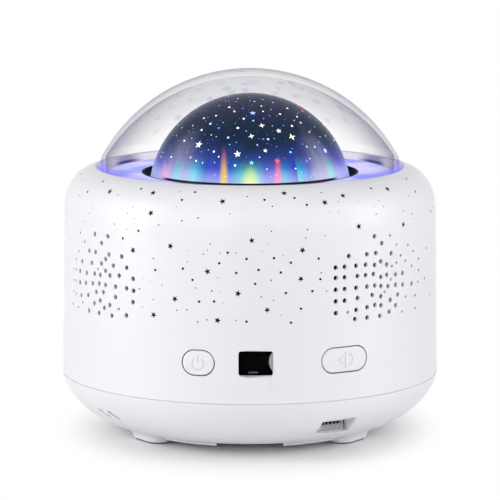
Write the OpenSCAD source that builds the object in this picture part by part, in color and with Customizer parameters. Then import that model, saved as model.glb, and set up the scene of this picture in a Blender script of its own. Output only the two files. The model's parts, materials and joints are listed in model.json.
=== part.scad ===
// Star night light projector: a drum-shaped housing with two side speakers, a turning star dome
// under a clear lift-off dome, a bowl-shaped base, two push buttons and a slide switch.
// Origin: centre of the footprint on the table. +Z is up and the controls face -Y.
// Azimuths are in degrees from the front (-Y), positive towards +X.

/* [Housing] */
// Radius of the housing at the seam
body_r = 75; // [73:0.5:80]
// How much narrower the housing is where the shoulder starts
taper = 1; // [0:0.25:2]
// Width of the rounded shoulder
shoulder_r = 16.5; // [15:0.5:18]
// Height of the rounded shoulder
shoulder_h = 18.2; // [16:0.2:20]
// Squareness of the rounded shoulder
shoulder_n = 2.3; // [2:0.1:2.6]
// Height of the housing's top above the table
housing_top_z = 106.6; // [105:0.2:109]
// Wall thickness of the housing and the base
wall = 2.4; // [2:0.1:3]
// Width of the top rim, from the side to the round opening
rim_w = 13.3; // [12:0.1:14.5]

/* [Base] */
// Height of the seam between base and housing
seam_z = 24.1; // [22:0.1:27]
// Height of the underside of the base
base_z = 3.9; // [3.2:0.1:4.5]
// Width of the bowl's curve, from its flat underside to the side
bowl_w = 25; // [23:0.5:27]
// Thickness of the base floor
floor_t = 2.2; // [1.8:0.1:2.6]
// Roundness of the bowl along its height
bowl_m = 1.6; // [1.4:0.05:2]
// Roundness of the bowl along its radius
bowl_n = 1.75; // [1.5:0.05:2]
// Width of the flat rim left round the cover under the base
cover_rim = 2; // [1.5:0.25:3]
// Thickness of the cover under the base
cover_t = 1.9; // [1.4:0.1:2.1]
// Width of the notch at the front of the cover
notch_w = 26; // [18:1:30]
// Depth of the notch at the front of the cover
notch_d = 7; // [4:0.5:9]

/* [Feet] */
// How far each foot's centre lies outside its screw post
foot_out = 2.3; // [1.5:0.1:2.4]
// Azimuth of the front feet
foot_az = 56; // [53:1:58]
// Half width of a foot
foot_half = 5.7; // [5.5:0.1:5.9]
// Straight length of a foot
foot_len = 8; // [7:0.5:12]
// Thickness of the soft pad under a foot
pad_t = 0.6; // [0.5:0.1:1]

/* [Clear dome] */
// Rise of the clear dome above the housing
dome_rise = 39.1; // [36:0.5:43]
// How much wider the sphere that the dome is cut from is than its rim
dome_bulge = 7.8; // [6:0.2:10]
// Gap between the dome's upright rim and the opening
dome_gap = 1.1; // [0.9:0.1:1.6]
// Wall thickness of the clear dome
dome_t = 2.1; // [1.6:0.1:2.4]

/* [Star dome] */
// Radial room between the star dome and the opening
ring_room = 20.4; // [19.7:0.1:22]
// Depth of the centre of the star dome below the deck
star_drop = 9.1; // [8.5:0.1:10]
// Wall thickness of the star dome
star_t = 1.4; // [1:0.1:1.6]
// Height of the star dome's upright skirt
skirt_h = 4.4; // [3.6:0.1:4.6]

/* [Deck] */
// Depth of the deck below the top of the housing
deck_drop = 2.8; // [2.4:0.1:3.4]
// Thickness of the deck
deck_t = 2; // [1.6:0.1:2.4]
// Play between the raised part of the deck and the dome's rim
rim_play = 0.5; // [0.4:0.1:0.8]
// Gap between the star dome and the black baffle around it
star_gap = 2; // [1.7:0.1:2.6]
// Thickness of the baffle
baffle_t = 0.9; // [0.7:0.1:1.2]
// Height of the baffle
baffle_h = 11; // [9:0.5:11.5]

/* [Drive] */
// Tooth size of the gears
gear_module = 0.8; // [0.75:0.05:0.8]
// Teeth of the ring gear
ring_teeth = 56; // [54:2:58]
// Teeth of the pinion
pinion_teeth = 14; // [13:1:15]
// Width of the ring gear's teeth
gear_w = 4; // [3:0.5:4.5]
// Pressure angle of the teeth
pressure_angle = 25; // [24:1:26]
// Play between the teeth on each flank
backlash = 0.08; // [0.06:0.01:0.12]
// Outer radius of the tower that the turntable turns on
tower_r = 12; // [11:0.5:12.5]
// Running clearance between tower and turntable
running_gap = 0.1; // [0.06:0.01:0.15]
// Radius of the motor shaft
shaft_r = 1.5; // [1.25:0.25:2]
// Radius of the motor can
motor_r = 12; // [11:0.5:13]
// Height of the motor can
motor_h = 19; // [16:0.5:21]

/* [Chassis] */
// Depth of the chassis below the turntable's face
chassis_drop = 13.3; // [12.8:0.1:14]
// Thickness of the chassis plate
chassis_t = 3; // [2.5:0.1:3.5]
// Distance of the screw posts in from the side
post_inset = 31; // [30.5:0.1:31.5]
// Radius of the screw posts
post_r = 3.8; // [3.5:0.1:4]

/* [Speakers] */
// Azimuth of the left speaker
left_az = -55; // [-58:1:-54]
// Azimuth of the right speaker
right_az = 46; // [44:1:48]
// Height of the centre of the speakers
speaker_z = 68.4; // [67:0.2:70]
// Depth of the face of the speaker flange behind the side
speaker_inset = 8; // [7.8:0.1:9]
// Side of the square flange, as a share of the body's radius
flange_share = 0.4933; // [0.485:0.001:0.5]
// Thickness of the flange
flange_t = 1.2; // [1:0.1:1.5]
// Radius of the holes in the grille
grille_hole_r = 0.95; // [0.8:0.05:1.1]
// Horizontal pitch of the grille holes, in degrees
grille_step_az = 3.75; // [3.6:0.05:4]
// Vertical pitch of the grille holes
grille_step_z = 4.4; // [4.2:0.1:4.8]

/* [Controls] */
// Height of the centre of the controls
control_z = 39.8; // [38:0.2:42]
// Azimuth of the power button
power_az = -15.3; // [-17:0.1:-14.5]
// Azimuth of the slide switch
slide_az = 1.7; // [1:0.1:3]
// Azimuth of the sound button
sound_az = 29; // [27:0.2:30]
// Width of the power button
power_w = 12.3; // [11.5:0.1:13]
// Width of the sound button
sound_w = 19.5; // [18:0.5:21]
// Height of both buttons
button_h = 9.4; // [9:0.1:10.5]
// Gap around a button
button_gap = 0.35; // [0.25:0.05:0.5]
// How far a button stands proud of the housing
button_proud = 0.25; // [0.1:0.05:0.5]
// Travel of the buttons
button_travel = 0.8; // [0.5:0.1:1]
// Width of the switch window
window_w = 13; // [12:0.5:13.5]
// Height of the switch window
window_h = 9.6; // [9:0.1:10]
// Travel of the slide switch
slide_travel = 6.5; // [5.5:0.1:6.8]

/* [Power] */
// Azimuth of the USB socket
usb_az = 29.2; // [28:0.2:31]
// Height of the centre of the USB socket
usb_z = 12.7; // [12.3:0.1:13]
// Width of the USB pocket in the base
usb_pocket_w = 14.4; // [14:0.2:15.4]
// Height of the USB pocket in the base
usb_pocket_h = 6.1; // [6:0.1:6.6]
// Depth of the face of the USB socket behind the side
usb_inset = 18; // [18:0.5:20]
// Radius of the battery cell
cell_r = 9.2; // [9:0.1:9.3]
// How much shorter the battery cell is than the body's radius
cell_short = 10; // [9:0.5:12]

/* [Hidden] */
$fn = 96;
eps = 0.01;             // overrun that keeps a cut clear of the face that it passes
seat_gap = 0.1;         // gap between a part that lifts or turns and its seat
fit_gap = 0.2;          // gap round a part that is pushed into a hole

// Radii that follow the body's
body_top_r = body_r - taper;
opening_r = body_top_r - rim_w;
base_flat_r = body_r - bowl_w;
cover_r = base_flat_r - cover_rim;
post_pos_r = body_r - post_inset;
foot_r = post_pos_r + foot_out;
dome_rim_r = opening_r - dome_gap;
dome_sphere_r = dome_rim_r + dome_bulge;
deck_r = dome_rim_r - dome_t - rim_play;
star_r = opening_r - ring_room;
baffle_r = star_r + star_gap;
chassis_r = post_pos_r + 1;
speaker_w = body_top_r - speaker_inset;
flange_w = body_r * flange_share;
usb_face_r = body_r - usb_inset;
cell_l = body_r - cell_short;

// Shared heights
shoulder_z = housing_top_z - shoulder_h;
dome_top_z = housing_top_z + dome_rise;
deck_z = housing_top_z - deck_drop;
star_z = deck_z - star_drop;
ledge_top_z = deck_z - 4.8;          // ledge inside the housing that carries the deck
ledge_t = 2.4;
ledge_r = deck_r - 1.8;
floor_z = base_z + floor_t;
turntable_z = star_z - skirt_h;      // seat of the star dome on the turntable
chassis_z = turntable_z - chassis_drop;
inner_r = body_r - wall;

// Screws
screw_r = 1.3;
screw_hole_r = 1.5;
pilot_r = 1.32;
head_r = 2.5;
head_t = 1.8;
drive_w = 0.6;           // slot of the cross drive
drive_l = 2.6;

// Grille
grille_cols = 5;        // columns each side of the middle one
grille_rows = 3;        // rows above and below the middle one
grille_squeeze = 0.28;  // how much the pattern closes up in the middle
grille_spread = 3;      // reach of that squeeze, in holes
grille_power = 3;       // squareness of the outline of the pattern
grille_small = 0.6;     // share of the full hole size at the edge of the pattern

// ---------------------------------------------------------------- helpers

// Places children so that their z axis points out of the wall at an azimuth, x to the right, y up.
module outward(az, z) {
    rotate([0, 0, az]) translate([0, 0, z]) rotate([90, 0, 0]) children();
}

module polar(r, az, z = 0) {
    translate([r * sin(az), -r * cos(az), z]) children();
}

module ring(r_out, r_in, h) {
    difference() {
        cylinder(r = r_out, h = h);
        translate([0, 0, -eps]) cylinder(r = r_in, h = h + 2 * eps);
    }
}

module stadium(w, h) {
    for (side = [-1, 1]) translate([side * (w - h) / 2, 0]) circle(d = h);
    square([w - h, h], center = true);
}

module rounded_rect(w, h, r) {
    square([w - 2 * r, h], center = true);
    square([w, h - 2 * r], center = true);
    for (x = [-1, 1], y = [-1, 1]) translate([x * (w / 2 - r), y * (h / 2 - r)]) circle(r = r, $fn = 32);
}

// A screw with its head's seat at z = 0, the head below and the shank up.
module screw(length) {
    cylinder(r = screw_r, h = length, $fn = 24);
    difference() {
        translate([0, 0, -head_t]) cylinder(r = head_r, h = head_t, $fn = 32);
        for (turn = [0, 90]) rotate([0, 0, turn])
            translate([0, 0, -head_t]) cube([drive_l, drive_w, 1.6], center = true);
    }
}

// ---------------------------------------------------------------- base

// Outline of the bowl from the flat underside up to the seam.
function bowl_curve(r_top, r_flat, z_top, z_flat, steps = 18) = [
    for (i = [0 : steps])
        let (drop = sin(90 * (1 - i / steps)))
        [r_flat + (r_top - r_flat) * pow(1 - pow(drop, bowl_m), 1 / bowl_n), z_top - (z_top - z_flat) * drop]
];

module bowl(r_top, r_flat, z_top, z_flat) {
    rotate_extrude($fn = 180)
        polygon(concat([[0, z_top], [0, z_flat]], bowl_curve(r_top, r_flat, z_top, z_flat)));
}

module foot_outline(grow = 0) {
    stadium(foot_len + 2 * (foot_half + grow), 2 * (foot_half + grow));
}

feet_az = [-foot_az, foot_az, 180 - foot_az, 180 + foot_az];

module each_foot() {
    for (az = feet_az) rotate([0, 0, az]) translate([0, -foot_r, 0]) children();
}

module each_post() {
    for (az = feet_az) polar(post_pos_r, az) children();
}

// Frame of the main board: x to the right along the wall, y inward from the USB socket.
module usb_frame(z) {
    rotate([0, 0, usb_az]) translate([0, -usb_face_r, z]) children();
}

board_l = body_r - 39;   // radial length of the main board
board_left = 30;         // reach of the main board to each side of the socket
board_right = 11;
board_t = 1.6;
board_edge = 2;          // how far the socket stands out past the board
usb_w = 13.2;            // outer size of the socket
usb_h = 5.7;
usb_l = 14;
usb_wall = 0.4;
board_z = usb_z + usb_h / 2;
board_margin = 4;        // screws of the main board, in from its sides
board_back = board_l - 5;
board_holes = [[-board_left + board_margin, board_edge + 6], [-board_left + board_margin, board_back],
    [board_right - board_margin, board_back]];
board_boss_r = 2.6;

vent_az = [-54.4, -49.3];
vent_z = 13.8;
vent_l = 6.3;
vent_w = 1.2;
vent_tilt = -48;         // turns the cut square to the bowl
vent_turn = 40;          // slant of the slots on the bowl
vent_r = body_r - 5.3;
pocket_l = usb_inset + 1;  // the pocket's cut, from the socket's face to clear of the side

usb_seat = 0.5;          // how far the pocket reaches past the socket's face
tunnel_t = 1.4;          // walls round the pocket
tunnel_floor = 1.2;

module usb_cuts() {
    usb_frame(usb_z) translate([-usb_pocket_w / 2, -pocket_l, -usb_pocket_h / 2])
        cube([usb_pocket_w, pocket_l + usb_seat, usb_pocket_h]);
    usb_frame(usb_z) translate([-usb_w / 2 - fit_gap, -eps, -usb_h / 2 - seat_gap])
        cube([usb_w + 2 * fit_gap, usb_l + 1, usb_h + 2 * seat_gap]);
}

module usb_tunnel() {
    usb_frame(usb_z) translate([-usb_pocket_w / 2 - tunnel_t, 4 - pocket_l, -usb_pocket_h / 2 - tunnel_floor])
        cube([usb_pocket_w + 2 * tunnel_t, pocket_l - 4 + tunnel_floor,
            usb_pocket_h + tunnel_t + tunnel_floor - seat_gap]);
}

cradle_l = cell_l + 7;
cradle_w = 2 * cell_r + 3;
cradle_gap = 2.7;        // clearance between the cradle and the rear screw posts
cradle_y = post_pos_r * cos(foot_az) - post_r - cradle_gap - cradle_w / 2;
cell_z = floor_z + 1.4 + cell_r;
cell_button = 1.1;       // height of the cell's raised end

seam_lip_h = 2.4;        // lip on the base that centres the housing
seam_lip_t = 1.2;

module base_shell() {
    color("whitesmoke") difference() {
        union() {
            difference() {
                bowl(body_r, base_flat_r, seam_z, base_z);
                bowl(inner_r, base_flat_r - 1.5, seam_z + eps, floor_z);
            }
            translate([0, 0, seam_z - 1.6])
                ring(inner_r - fit_gap, inner_r - fit_gap - seam_lip_t, seam_lip_h + 1.6);
            translate([0, 0, seam_z - 4]) intersection() {
                ring(inner_r + 1, inner_r - fit_gap - seam_lip_t, 2.4 + eps);
                translate([0, 0, 4 - seam_z]) bowl(body_r - 1, base_flat_r, seam_z, base_z);
            }
            intersection() {
                usb_tunnel();
                bowl(body_r, base_flat_r, seam_z, base_z);
            }
            each_foot() translate([0, 0, pad_t]) linear_extrude(base_z - pad_t + 0.6) foot_outline();
            each_post() translate([0, 0, floor_z - eps]) cylinder(r = post_r, h = seam_z - floor_z + eps);
            for (p = board_holes) usb_frame(floor_z - eps) translate([p[0], p[1], 0])
                cylinder(r = board_boss_r, h = board_z - floor_z + eps, $fn = 32);
        }
        usb_cuts();
        each_post() {
            translate([0, 0, -eps]) cylinder(r = screw_hole_r, h = seam_z + 1, $fn = 32);
            translate([0, 0, -eps]) cylinder(r = head_r + fit_gap, h = floor_z, $fn = 32);
        }
        for (p = board_holes) usb_frame(floor_z + 0.8) translate([p[0], p[1], 0])
            cylinder(r = pilot_r, h = board_z, $fn = 24);
        for (az = vent_az) rotate([0, 0, az]) translate([0, -vent_r, vent_z]) rotate([vent_tilt, 0, 0])
            translate([0, 0, -5]) linear_extrude(10) rotate(vent_turn) stadium(vent_l, vent_w);
        for (p = cover_screw_pos) polar(p[0], p[1], -eps) cylinder(r = pilot_r, h = floor_z - 0.6, $fn = 24);
    }
}

cover_screw_pos = [[30, 90], [30, 180], [30, 270]];
cover_sink = 1.1;        // depth of the counterbores in the cover

module bottom_cover() {
    color("gainsboro") difference() {
        translate([0, 0, base_z - cover_t]) cylinder(r = cover_r, h = cover_t, $fn = 180);
        each_foot() translate([0, 0, -eps]) linear_extrude(base_z + 1) foot_outline(fit_gap);
        for (az = [0, 180]) rotate([0, 0, az]) translate([-notch_w / 2, -cover_r - 1, -eps])
            cube([notch_w, notch_d + 1, base_z + 1]);
        for (p = cover_screw_pos) polar(p[0], p[1], 0) {
            cylinder(r = screw_hole_r, h = base_z + 1, $fn = 24);
            translate([0, 0, -eps])
                cylinder(r = head_r + fit_gap, h = base_z - cover_t + cover_sink + eps, $fn = 32);
        }
    }
}

module cover_screws() {
    color("silver") for (p = cover_screw_pos)
        polar(p[0], p[1], base_z - cover_t + cover_sink) short_screw();
}

// Low-headed screw whose shank ends inside the base floor.
low_head_t = 1;

module short_screw() {
    cylinder(r = screw_r, h = floor_t + 0.1, $fn = 24);
    difference() {
        translate([0, 0, -low_head_t]) cylinder(r = head_r, h = low_head_t, $fn = 32);
        for (turn = [0, 90]) rotate([0, 0, turn])
            translate([0, 0, -low_head_t]) cube([drive_l, drive_w, low_head_t], center = true);
    }
}

module foot_pads() {
    color("lightgray") each_foot() linear_extrude(pad_t - 0.02) foot_outline(-0.4);
}

base_screw_l = seam_z - floor_z + 12;

module base_screws() {
    color("silver") each_post() translate([0, 0, floor_z - eps]) screw(base_screw_l);
}

// ---------------------------------------------------------------- housing

collar_t = 1.8;          // wall of the collar round the top opening
edge_r = 1.2;            // rounding of the opening's edge
seam_groove = 0.4;       // half of the fine groove along the seam

// Outer radius of the housing's side at a height.
function side_r(z) = body_r - (body_r - body_top_r) * (z - seam_z) / (shoulder_z - seam_z);

// Points of the shoulder, in by `inset`, from the side up to radius `stop_r`.
function shoulder_curve(inset, stop_r, steps = 20) =
    let (a = shoulder_r - inset, h = shoulder_h - inset, mid = body_top_r - shoulder_r)
    let (last = acos(pow((stop_r - mid) / a, shoulder_n / 2)))
    [for (i = [0 : steps]) let (t = last * i / steps)
        [mid + a * pow(cos(t), 2 / shoulder_n), shoulder_z + h * pow(sin(t), 2 / shoulder_n)]];

function reversed(list) = [for (i = [len(list) - 1 : -1 : 0]) list[i]];

function edge_curve(r, z, steps = 6) = [
    for (i = [0 : steps]) let (t = 90 + 90 * i / steps)
        [r + edge_r + edge_r * cos(t), z - edge_r + edge_r * sin(t)]
];

outer_shoulder = shoulder_curve(0, opening_r + edge_r);
inner_shoulder = shoulder_curve(wall, opening_r + collar_t);
edge_top_z = outer_shoulder[len(outer_shoulder) - 1][1];

module housing_shell() {
    rotate_extrude($fn = 180) polygon(concat(
        [[inner_r, seam_z], [body_r - seam_groove, seam_z], [body_r, seam_z + seam_groove]],
        outer_shoulder,
        edge_curve(opening_r, edge_top_z),
        [[opening_r, ledge_top_z], [ledge_r, ledge_top_z], [ledge_r, ledge_top_z - ledge_t],
            [opening_r + collar_t, ledge_top_z - ledge_t]],
        reversed(inner_shoulder)));
}

// Cuts through the wall start and end just clear of it.
cut_from = body_top_r - wall - 6;
cut_l = body_r + 4 - cut_from;

// Grille holes of one speaker, drilled square to the wall.
function squeezed(k) = k * (1 - grille_squeeze * exp(-pow(k / grille_spread, 2)));

module grille(az) {
    for (col = [-grille_cols : grille_cols], row = [-grille_rows : grille_rows]) {
        reach = pow(abs(col) / (grille_cols + 0.8), grille_power)
            + pow(abs(row) / (grille_rows + 0.8), grille_power);
        if (reach < 1)
            outward(az + squeezed(col) * grille_step_az, speaker_z + row * grille_step_z)
                translate([0, 0, cut_from])
                    cylinder(r = grille_hole_r * (reach < 0.55 ? 1 : grille_small), h = cut_l, $fn = 24);
    }
}

speaker_hole = flange_w / 2 - 3;         // screw position on the flange
speaker_corners = [for (x = [-1, 1], y = [-1, 1]) [x * speaker_hole, y * speaker_hole]];
speaker_boss_r = 2.6;
speaker_az = [left_az, right_az];

module each_speaker() {
    for (az = speaker_az) outward(az, speaker_z) children();
}

// Chassis arms reach four bosses that hang from the ledge.
arm_az = [-4, 90, 180, 270];
hang_r = opening_r - 1.7;
hang_boss_r = 3.4;
arm_w = 9;

module each_arm() {
    for (az = arm_az) polar(hang_r, az) children();
}

// Controls: the board faces the wall, and the bosses hold it above and below the control.
control_wall = side_r(control_z);
board_face = control_wall - 13.15;
control_board_t = 1.6;
boss_y = 9.9;
boss_r = 2.2;
wall_mid = body_top_r - wall / 4;      // bosses end inside the wall
knob_r = 5.7;
knob_t = 1.6;
knob_show = 1.4;         // how much of the knob shows at rest
knob_x = window_w / 2 - knob_show + knob_r;
knob_back = control_wall - 6.1;
bezel_floor = knob_back - 0.45;
bezel_wall = 1.4;
bezel_left = -window_w / 2 - 0.3;
bezel_right = knob_x + knob_r + 0.4;
bezel_half_h = knob_r + 0.3;
slide_mid = (bezel_left + bezel_right) / 2;
controls = [[power_az, 0, 14], [slide_az, slide_mid, bezel_right - bezel_left + 2 * bezel_wall],
    [sound_az, 0, 18]];      // azimuth, offset and width of each control's board

// Passes each screw position of each control board to the children.
module each_control_boss() {
    for (c = controls, side = [-1, 1])
        outward(c[0], control_z) translate([c[1], side * boss_y, 0]) children();
}

module upper_housing() {
    color("white") difference() {
        union() {
            housing_shell();
            each_arm() translate([0, 0, chassis_z])
                cylinder(r = hang_boss_r, h = ledge_top_z - chassis_z - eps, $fn = 48);
            intersection() {
                union() {
                    each_speaker() for (p = speaker_corners) translate([p[0], p[1], speaker_w])
                        cylinder(r = speaker_boss_r, h = 12, $fn = 32);
                    each_control_boss() translate([0, 0, board_face]) cylinder(r = boss_r, h = 15, $fn = 32);
                }
                cylinder(r = wall_mid, h = ledge_top_z);
            }
        }
        for (az = speaker_az) grille(az);
        outward(power_az, control_z) translate([0, 0, cut_from]) linear_extrude(cut_l)
            stadium(power_w + 2 * button_gap, button_h + 2 * button_gap);
        outward(sound_az, control_z) translate([0, 0, cut_from]) linear_extrude(cut_l)
            stadium(sound_w + 2 * button_gap, button_h + 2 * button_gap);
        outward(slide_az, control_z) translate([0, 0, cut_from]) linear_extrude(cut_l)
            rounded_rect(window_w, window_h, 0.8);
        each_arm() translate([0, 0, chassis_z - eps]) cylinder(r = pilot_r, h = 12, $fn = 24);
        each_speaker() for (p = speaker_corners) translate([p[0], p[1], speaker_w - eps])
            cylinder(r = pilot_r, h = 4, $fn = 24);
        each_control_boss() translate([0, 0, board_face - eps]) cylinder(r = pilot_r, h = 7, $fn = 24);
    }
}

// ---------------------------------------------------------------- deck and halo light

flange_r = opening_r - 0.3;
groove_z = ledge_top_z + 2;              // floor of the groove that takes the clear dome
halo_boss_pos = baffle_r + baffle_t + 6.3;
halo_boss_r = 2.8;
halo_depth = 7.8;                        // depth of the light board below the deck's top
halo_board_top = deck_z - halo_depth;
halo_board_t = 1.6;
halo_board_r = deck_r - 3;
halo_az = [30, 150, 270];
led_count = 12;

module deck_ring() {
    color("lavender") difference() {
        union() {
            rotate_extrude($fn = 180) polygon([
                [ledge_r, ledge_top_z], [flange_r, ledge_top_z], [flange_r, groove_z], [deck_r, groove_z],
                [deck_r, deck_z - 0.6], [deck_r - 0.6, deck_z], [baffle_r + baffle_t, deck_z],
                [baffle_r + baffle_t, deck_z - deck_t], [ledge_r, deck_z - deck_t]]);
            for (az = halo_az) polar(halo_boss_pos, az, halo_board_top)
                cylinder(r = halo_boss_r, h = deck_z - deck_t - halo_board_top + eps, $fn = 32);
        }
        for (az = halo_az) polar(halo_boss_pos, az, halo_board_top - eps)
            cylinder(r = pilot_r, h = 5, $fn = 24);
    }
}

module light_baffle() {
    color("black") translate([0, 0, deck_z - baffle_h])
        ring(baffle_r + baffle_t, baffle_r, baffle_h);
}

module halo_board() {
    color("seagreen") difference() {
        translate([0, 0, halo_board_top - halo_board_t]) ring(halo_board_r, baffle_r + baffle_t + 1, halo_board_t);
        for (az = halo_az) polar(halo_boss_pos, az, 0) cylinder(r = screw_hole_r, h = deck_z, $fn = 24);
    }
}

module halo_leds() {
    color("ivory") for (i = [0 : led_count - 1])
        polar(halo_boss_pos, 360 * (i + 0.5) / led_count, halo_board_top) {
            translate([-2.5, -2.5, 0]) cube([5, 5, 1.2]);
            translate([0, 0, 1.2]) cylinder(r = 1.7, h = 0.4, $fn = 24);
        }
}

module halo_screws() {
    color("silver") for (az = halo_az)
        polar(halo_boss_pos, az, halo_board_top - halo_board_t) screw(5.6);
}

// ---------------------------------------------------------------- chassis and light tower

motor_az = 180;
gear_centre = gear_module * (ring_teeth + pinion_teeth) / 2;
tower_flange_r = 17;
tower_flange_t = 1.6;
tower_bore = 8;
washer_t = 1;
hub_r = 15.5;
hub_bottom_z = chassis_z + tower_flange_t + washer_t + seat_gap;
hub_top_z = turntable_z + 0.7;
retainer_t = 1;
retainer_z = hub_top_z + seat_gap;
tower_top_z = retainer_z + retainer_t + 1.1;
groove_depth = 1;
plate_screw_r = 15.5;    // motor plate screws, from the motor's axis
motor_plate_t = 1.2;
motor_boss_r = 3;        // raised rim of the motor that centres it in its plate
motor_top_z = chassis_z - chassis_t - motor_plate_t;

module each_plate_screw() {
    polar(gear_centre, motor_az) for (side = [-1, 1]) translate([side * plate_screw_r, 0, 0]) children();
}

module chassis() {
    color("gainsboro") difference() {
        union() {
            translate([0, 0, chassis_z - chassis_t]) linear_extrude(chassis_t) {
                circle(r = chassis_r);
                for (az = arm_az) rotate(az - 90) translate([hang_r / 2, 0]) stadium(hang_r + arm_w, arm_w);
            }
            each_post() translate([0, 0, seam_z]) cylinder(r = post_r, h = chassis_z - seam_z - 0.5, $fn = 48);
        }
        each_post() translate([0, 0, seam_z - eps]) cylinder(r = pilot_r, h = 14, $fn = 24);
        translate([0, 0, chassis_z - chassis_t - eps]) {
            each_arm() cylinder(r = screw_hole_r, h = chassis_t + 1, $fn = 24);
            polar(gear_centre, motor_az) cylinder(r = motor_boss_r + 0.3, h = chassis_t + 1);
            each_plate_screw() cylinder(r = pilot_r, h = chassis_t + 1, $fn = 24);
            cylinder(r = tower_bore, h = chassis_t + 1);
        }
    }
}

module chassis_screws() {
    color("silver") each_arm() translate([0, 0, chassis_z - chassis_t]) screw(chassis_t + 9);
}

peg_r = 0.9;
peg_pos = 9.4;

module light_tower() {
    color("white") difference() {
        union() {
            translate([0, 0, chassis_z]) cylinder(r = tower_flange_r, h = tower_flange_t);
            translate([0, 0, chassis_z]) cylinder(r = tower_r, h = tower_top_z - chassis_z);
            for (az = [0, 180]) polar(peg_pos, az, tower_top_z - eps) cylinder(r = peg_r, h = 1.1, $fn = 24);
        }
        translate([0, 0, chassis_z - eps]) cylinder(r = tower_bore, h = tower_top_z);
        translate([0, 0, retainer_z]) ring(tower_r + 1, tower_r - groove_depth, retainer_t);
    }
}

module bearing_washer() {
    color("khaki") translate([0, 0, chassis_z + tower_flange_t])
        ring(tower_flange_r - 0.5, tower_r + fit_gap, washer_t);
}

module retaining_ring() {
    color("dimgray") translate([0, 0, retainer_z]) difference() {
        ring(tower_r + 2.2, tower_r - groove_depth + 0.05, retainer_t);
        translate([-1.5, -tower_r - 3, -eps]) cube([3, 6, retainer_t + 1]);
    }
}

led_board_t = 1.2;
led_board_r = tower_r - 0.4;
emitter_pos = 6.2;

module led_board() {
    color("seagreen") translate([0, 0, tower_top_z]) difference() {
        cylinder(r = led_board_r, h = led_board_t);
        for (az = [0, 180]) polar(peg_pos, az, -eps) cylinder(r = peg_r + 0.1, h = 2, $fn = 24);
    }
}

module led_emitters() {
    color("lemonchiffon") for (i = [0 : 5])
        rotate([0, 0, 60 * i + 30]) translate([0, -emitter_pos, tower_top_z + led_board_t]) {
            translate([-1.75, -1.4, 0]) cube([3.5, 2.8, 0.9]);
            translate([0, 0, 0.9]) cylinder(r = 1.1, h = 0.3, $fn = 24);
        }
}

module centre_led() {
    color("lightcyan") translate([0, 0, tower_top_z + led_board_t]) {
        cylinder(r = 2.6, h = 1.2);
        translate([0, 0, 1.2]) cylinder(r = 1.9, h = 0.8);
        translate([0, 0, 2]) intersection() {
            sphere(r = 1.9);
            cylinder(r = 3, h = 3);
        }
    }
}

// ---------------------------------------------------------------- star dome drive

// Outline of one involute tooth on the +X axis, from inside the root circle to the tip.
function involute(a) = tan(a) * 180 / PI - a;
function flank_half(pitch, tooth, rho) =
    let (a = acos(min(1, pitch * cos(pressure_angle) / rho)))
    tooth / (2 * pitch) * 180 / PI + involute(pressure_angle) - involute(a);

module gear_outline(teeth) {
    pitch = gear_module * teeth / 2;
    tooth = PI * gear_module / 2 - backlash;
    root = pitch - 1.25 * gear_module;
    tip = pitch + gear_module;
    base = max(root, pitch * cos(pressure_angle));
    rhos = [for (i = [0 : 3]) base + (tip - base) * i / 3];
    right = [for (rho = rhos) let (h = flank_half(pitch, tooth, rho)) [rho * cos(h), -rho * sin(h)]];
    foot_h = flank_half(pitch, tooth, base);
    inner = root - 0.6;
    foot = [inner * cos(foot_h), -inner * sin(foot_h)];
    points = concat([foot], right, reversed([for (p = concat([foot], right)) [p[0], -p[1]]]));
    circle(r = root);
    for (i = [0 : teeth - 1]) rotate(360 * i / teeth) polygon(points);
}

motor_dir = motor_az - 90;   // direction of the motor in ordinary polar degrees
turntable_t = 2;
gear_top_z = turntable_z - turntable_t;

module ring_gear() {
    color("oldlace") difference() {
        translate([0, 0, gear_top_z - gear_w]) linear_extrude(gear_w) rotate(motor_dir) gear_outline(ring_teeth);
        translate([0, 0, gear_top_z - gear_w - eps]) cylinder(r = hub_r, h = gear_w + 1);
    }
}

pinion_w = gear_w;

module pinion() {
    color("gold") difference() {
        polar(gear_centre, motor_az, gear_top_z - 0.6 - pinion_w) linear_extrude(pinion_w)
            rotate(motor_dir + 180 + 180 / pinion_teeth) gear_outline(pinion_teeth);
        polar(gear_centre, motor_az, gear_top_z - 1 - pinion_w) cylinder(r = shaft_r, h = pinion_w + 2, $fn = 48);
    }
}

motor_boss_h = 1.8;

module motor_shaft() {
    color("lightsteelblue") polar(gear_centre, motor_az, motor_top_z - 4)
        cylinder(r = shaft_r, h = gear_top_z - 0.6 - motor_top_z + 4, $fn = 48);
}

module motor_can() {
    color("silver") difference() {
        union() {
            polar(gear_centre, motor_az, motor_top_z - motor_h) cylinder(r = motor_r, h = motor_h);
            polar(gear_centre, motor_az, motor_top_z - eps) cylinder(r = motor_boss_r, h = motor_boss_h);
            polar(gear_centre, motor_az, motor_top_z - motor_h - 1.6) cylinder(r = 3, h = 1.7);
            for (side = [-1, 1]) polar(gear_centre, motor_az, motor_top_z - motor_h - 3)
                translate([side * 7 - 0.3, -1.2, 0]) cube([0.6, 2.4, 3.1]);
        }
        polar(gear_centre, motor_az, motor_top_z - 4.1) cylinder(r = shaft_r + 0.05, h = 8, $fn = 48);
    }
}

module motor_plate() {
    color("lightgray") difference() {
        union() {
            polar(gear_centre, motor_az, motor_top_z) cylinder(r = motor_r, h = motor_plate_t);
            each_plate_screw() translate([0, 0, motor_top_z]) cylinder(r = 3.6, h = motor_plate_t, $fn = 48);
        }
        polar(gear_centre, motor_az, motor_top_z - eps) cylinder(r = motor_boss_r + 0.05, h = motor_plate_t + 1);
        each_plate_screw() translate([0, 0, motor_top_z - eps])
            cylinder(r = screw_hole_r, h = motor_plate_t + 1, $fn = 24);
    }
}

module motor_screws() {
    color("silver") each_plate_screw() translate([0, 0, motor_top_z]) screw(motor_plate_t + chassis_t - 0.2);
}

lip_t = 1;

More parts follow.
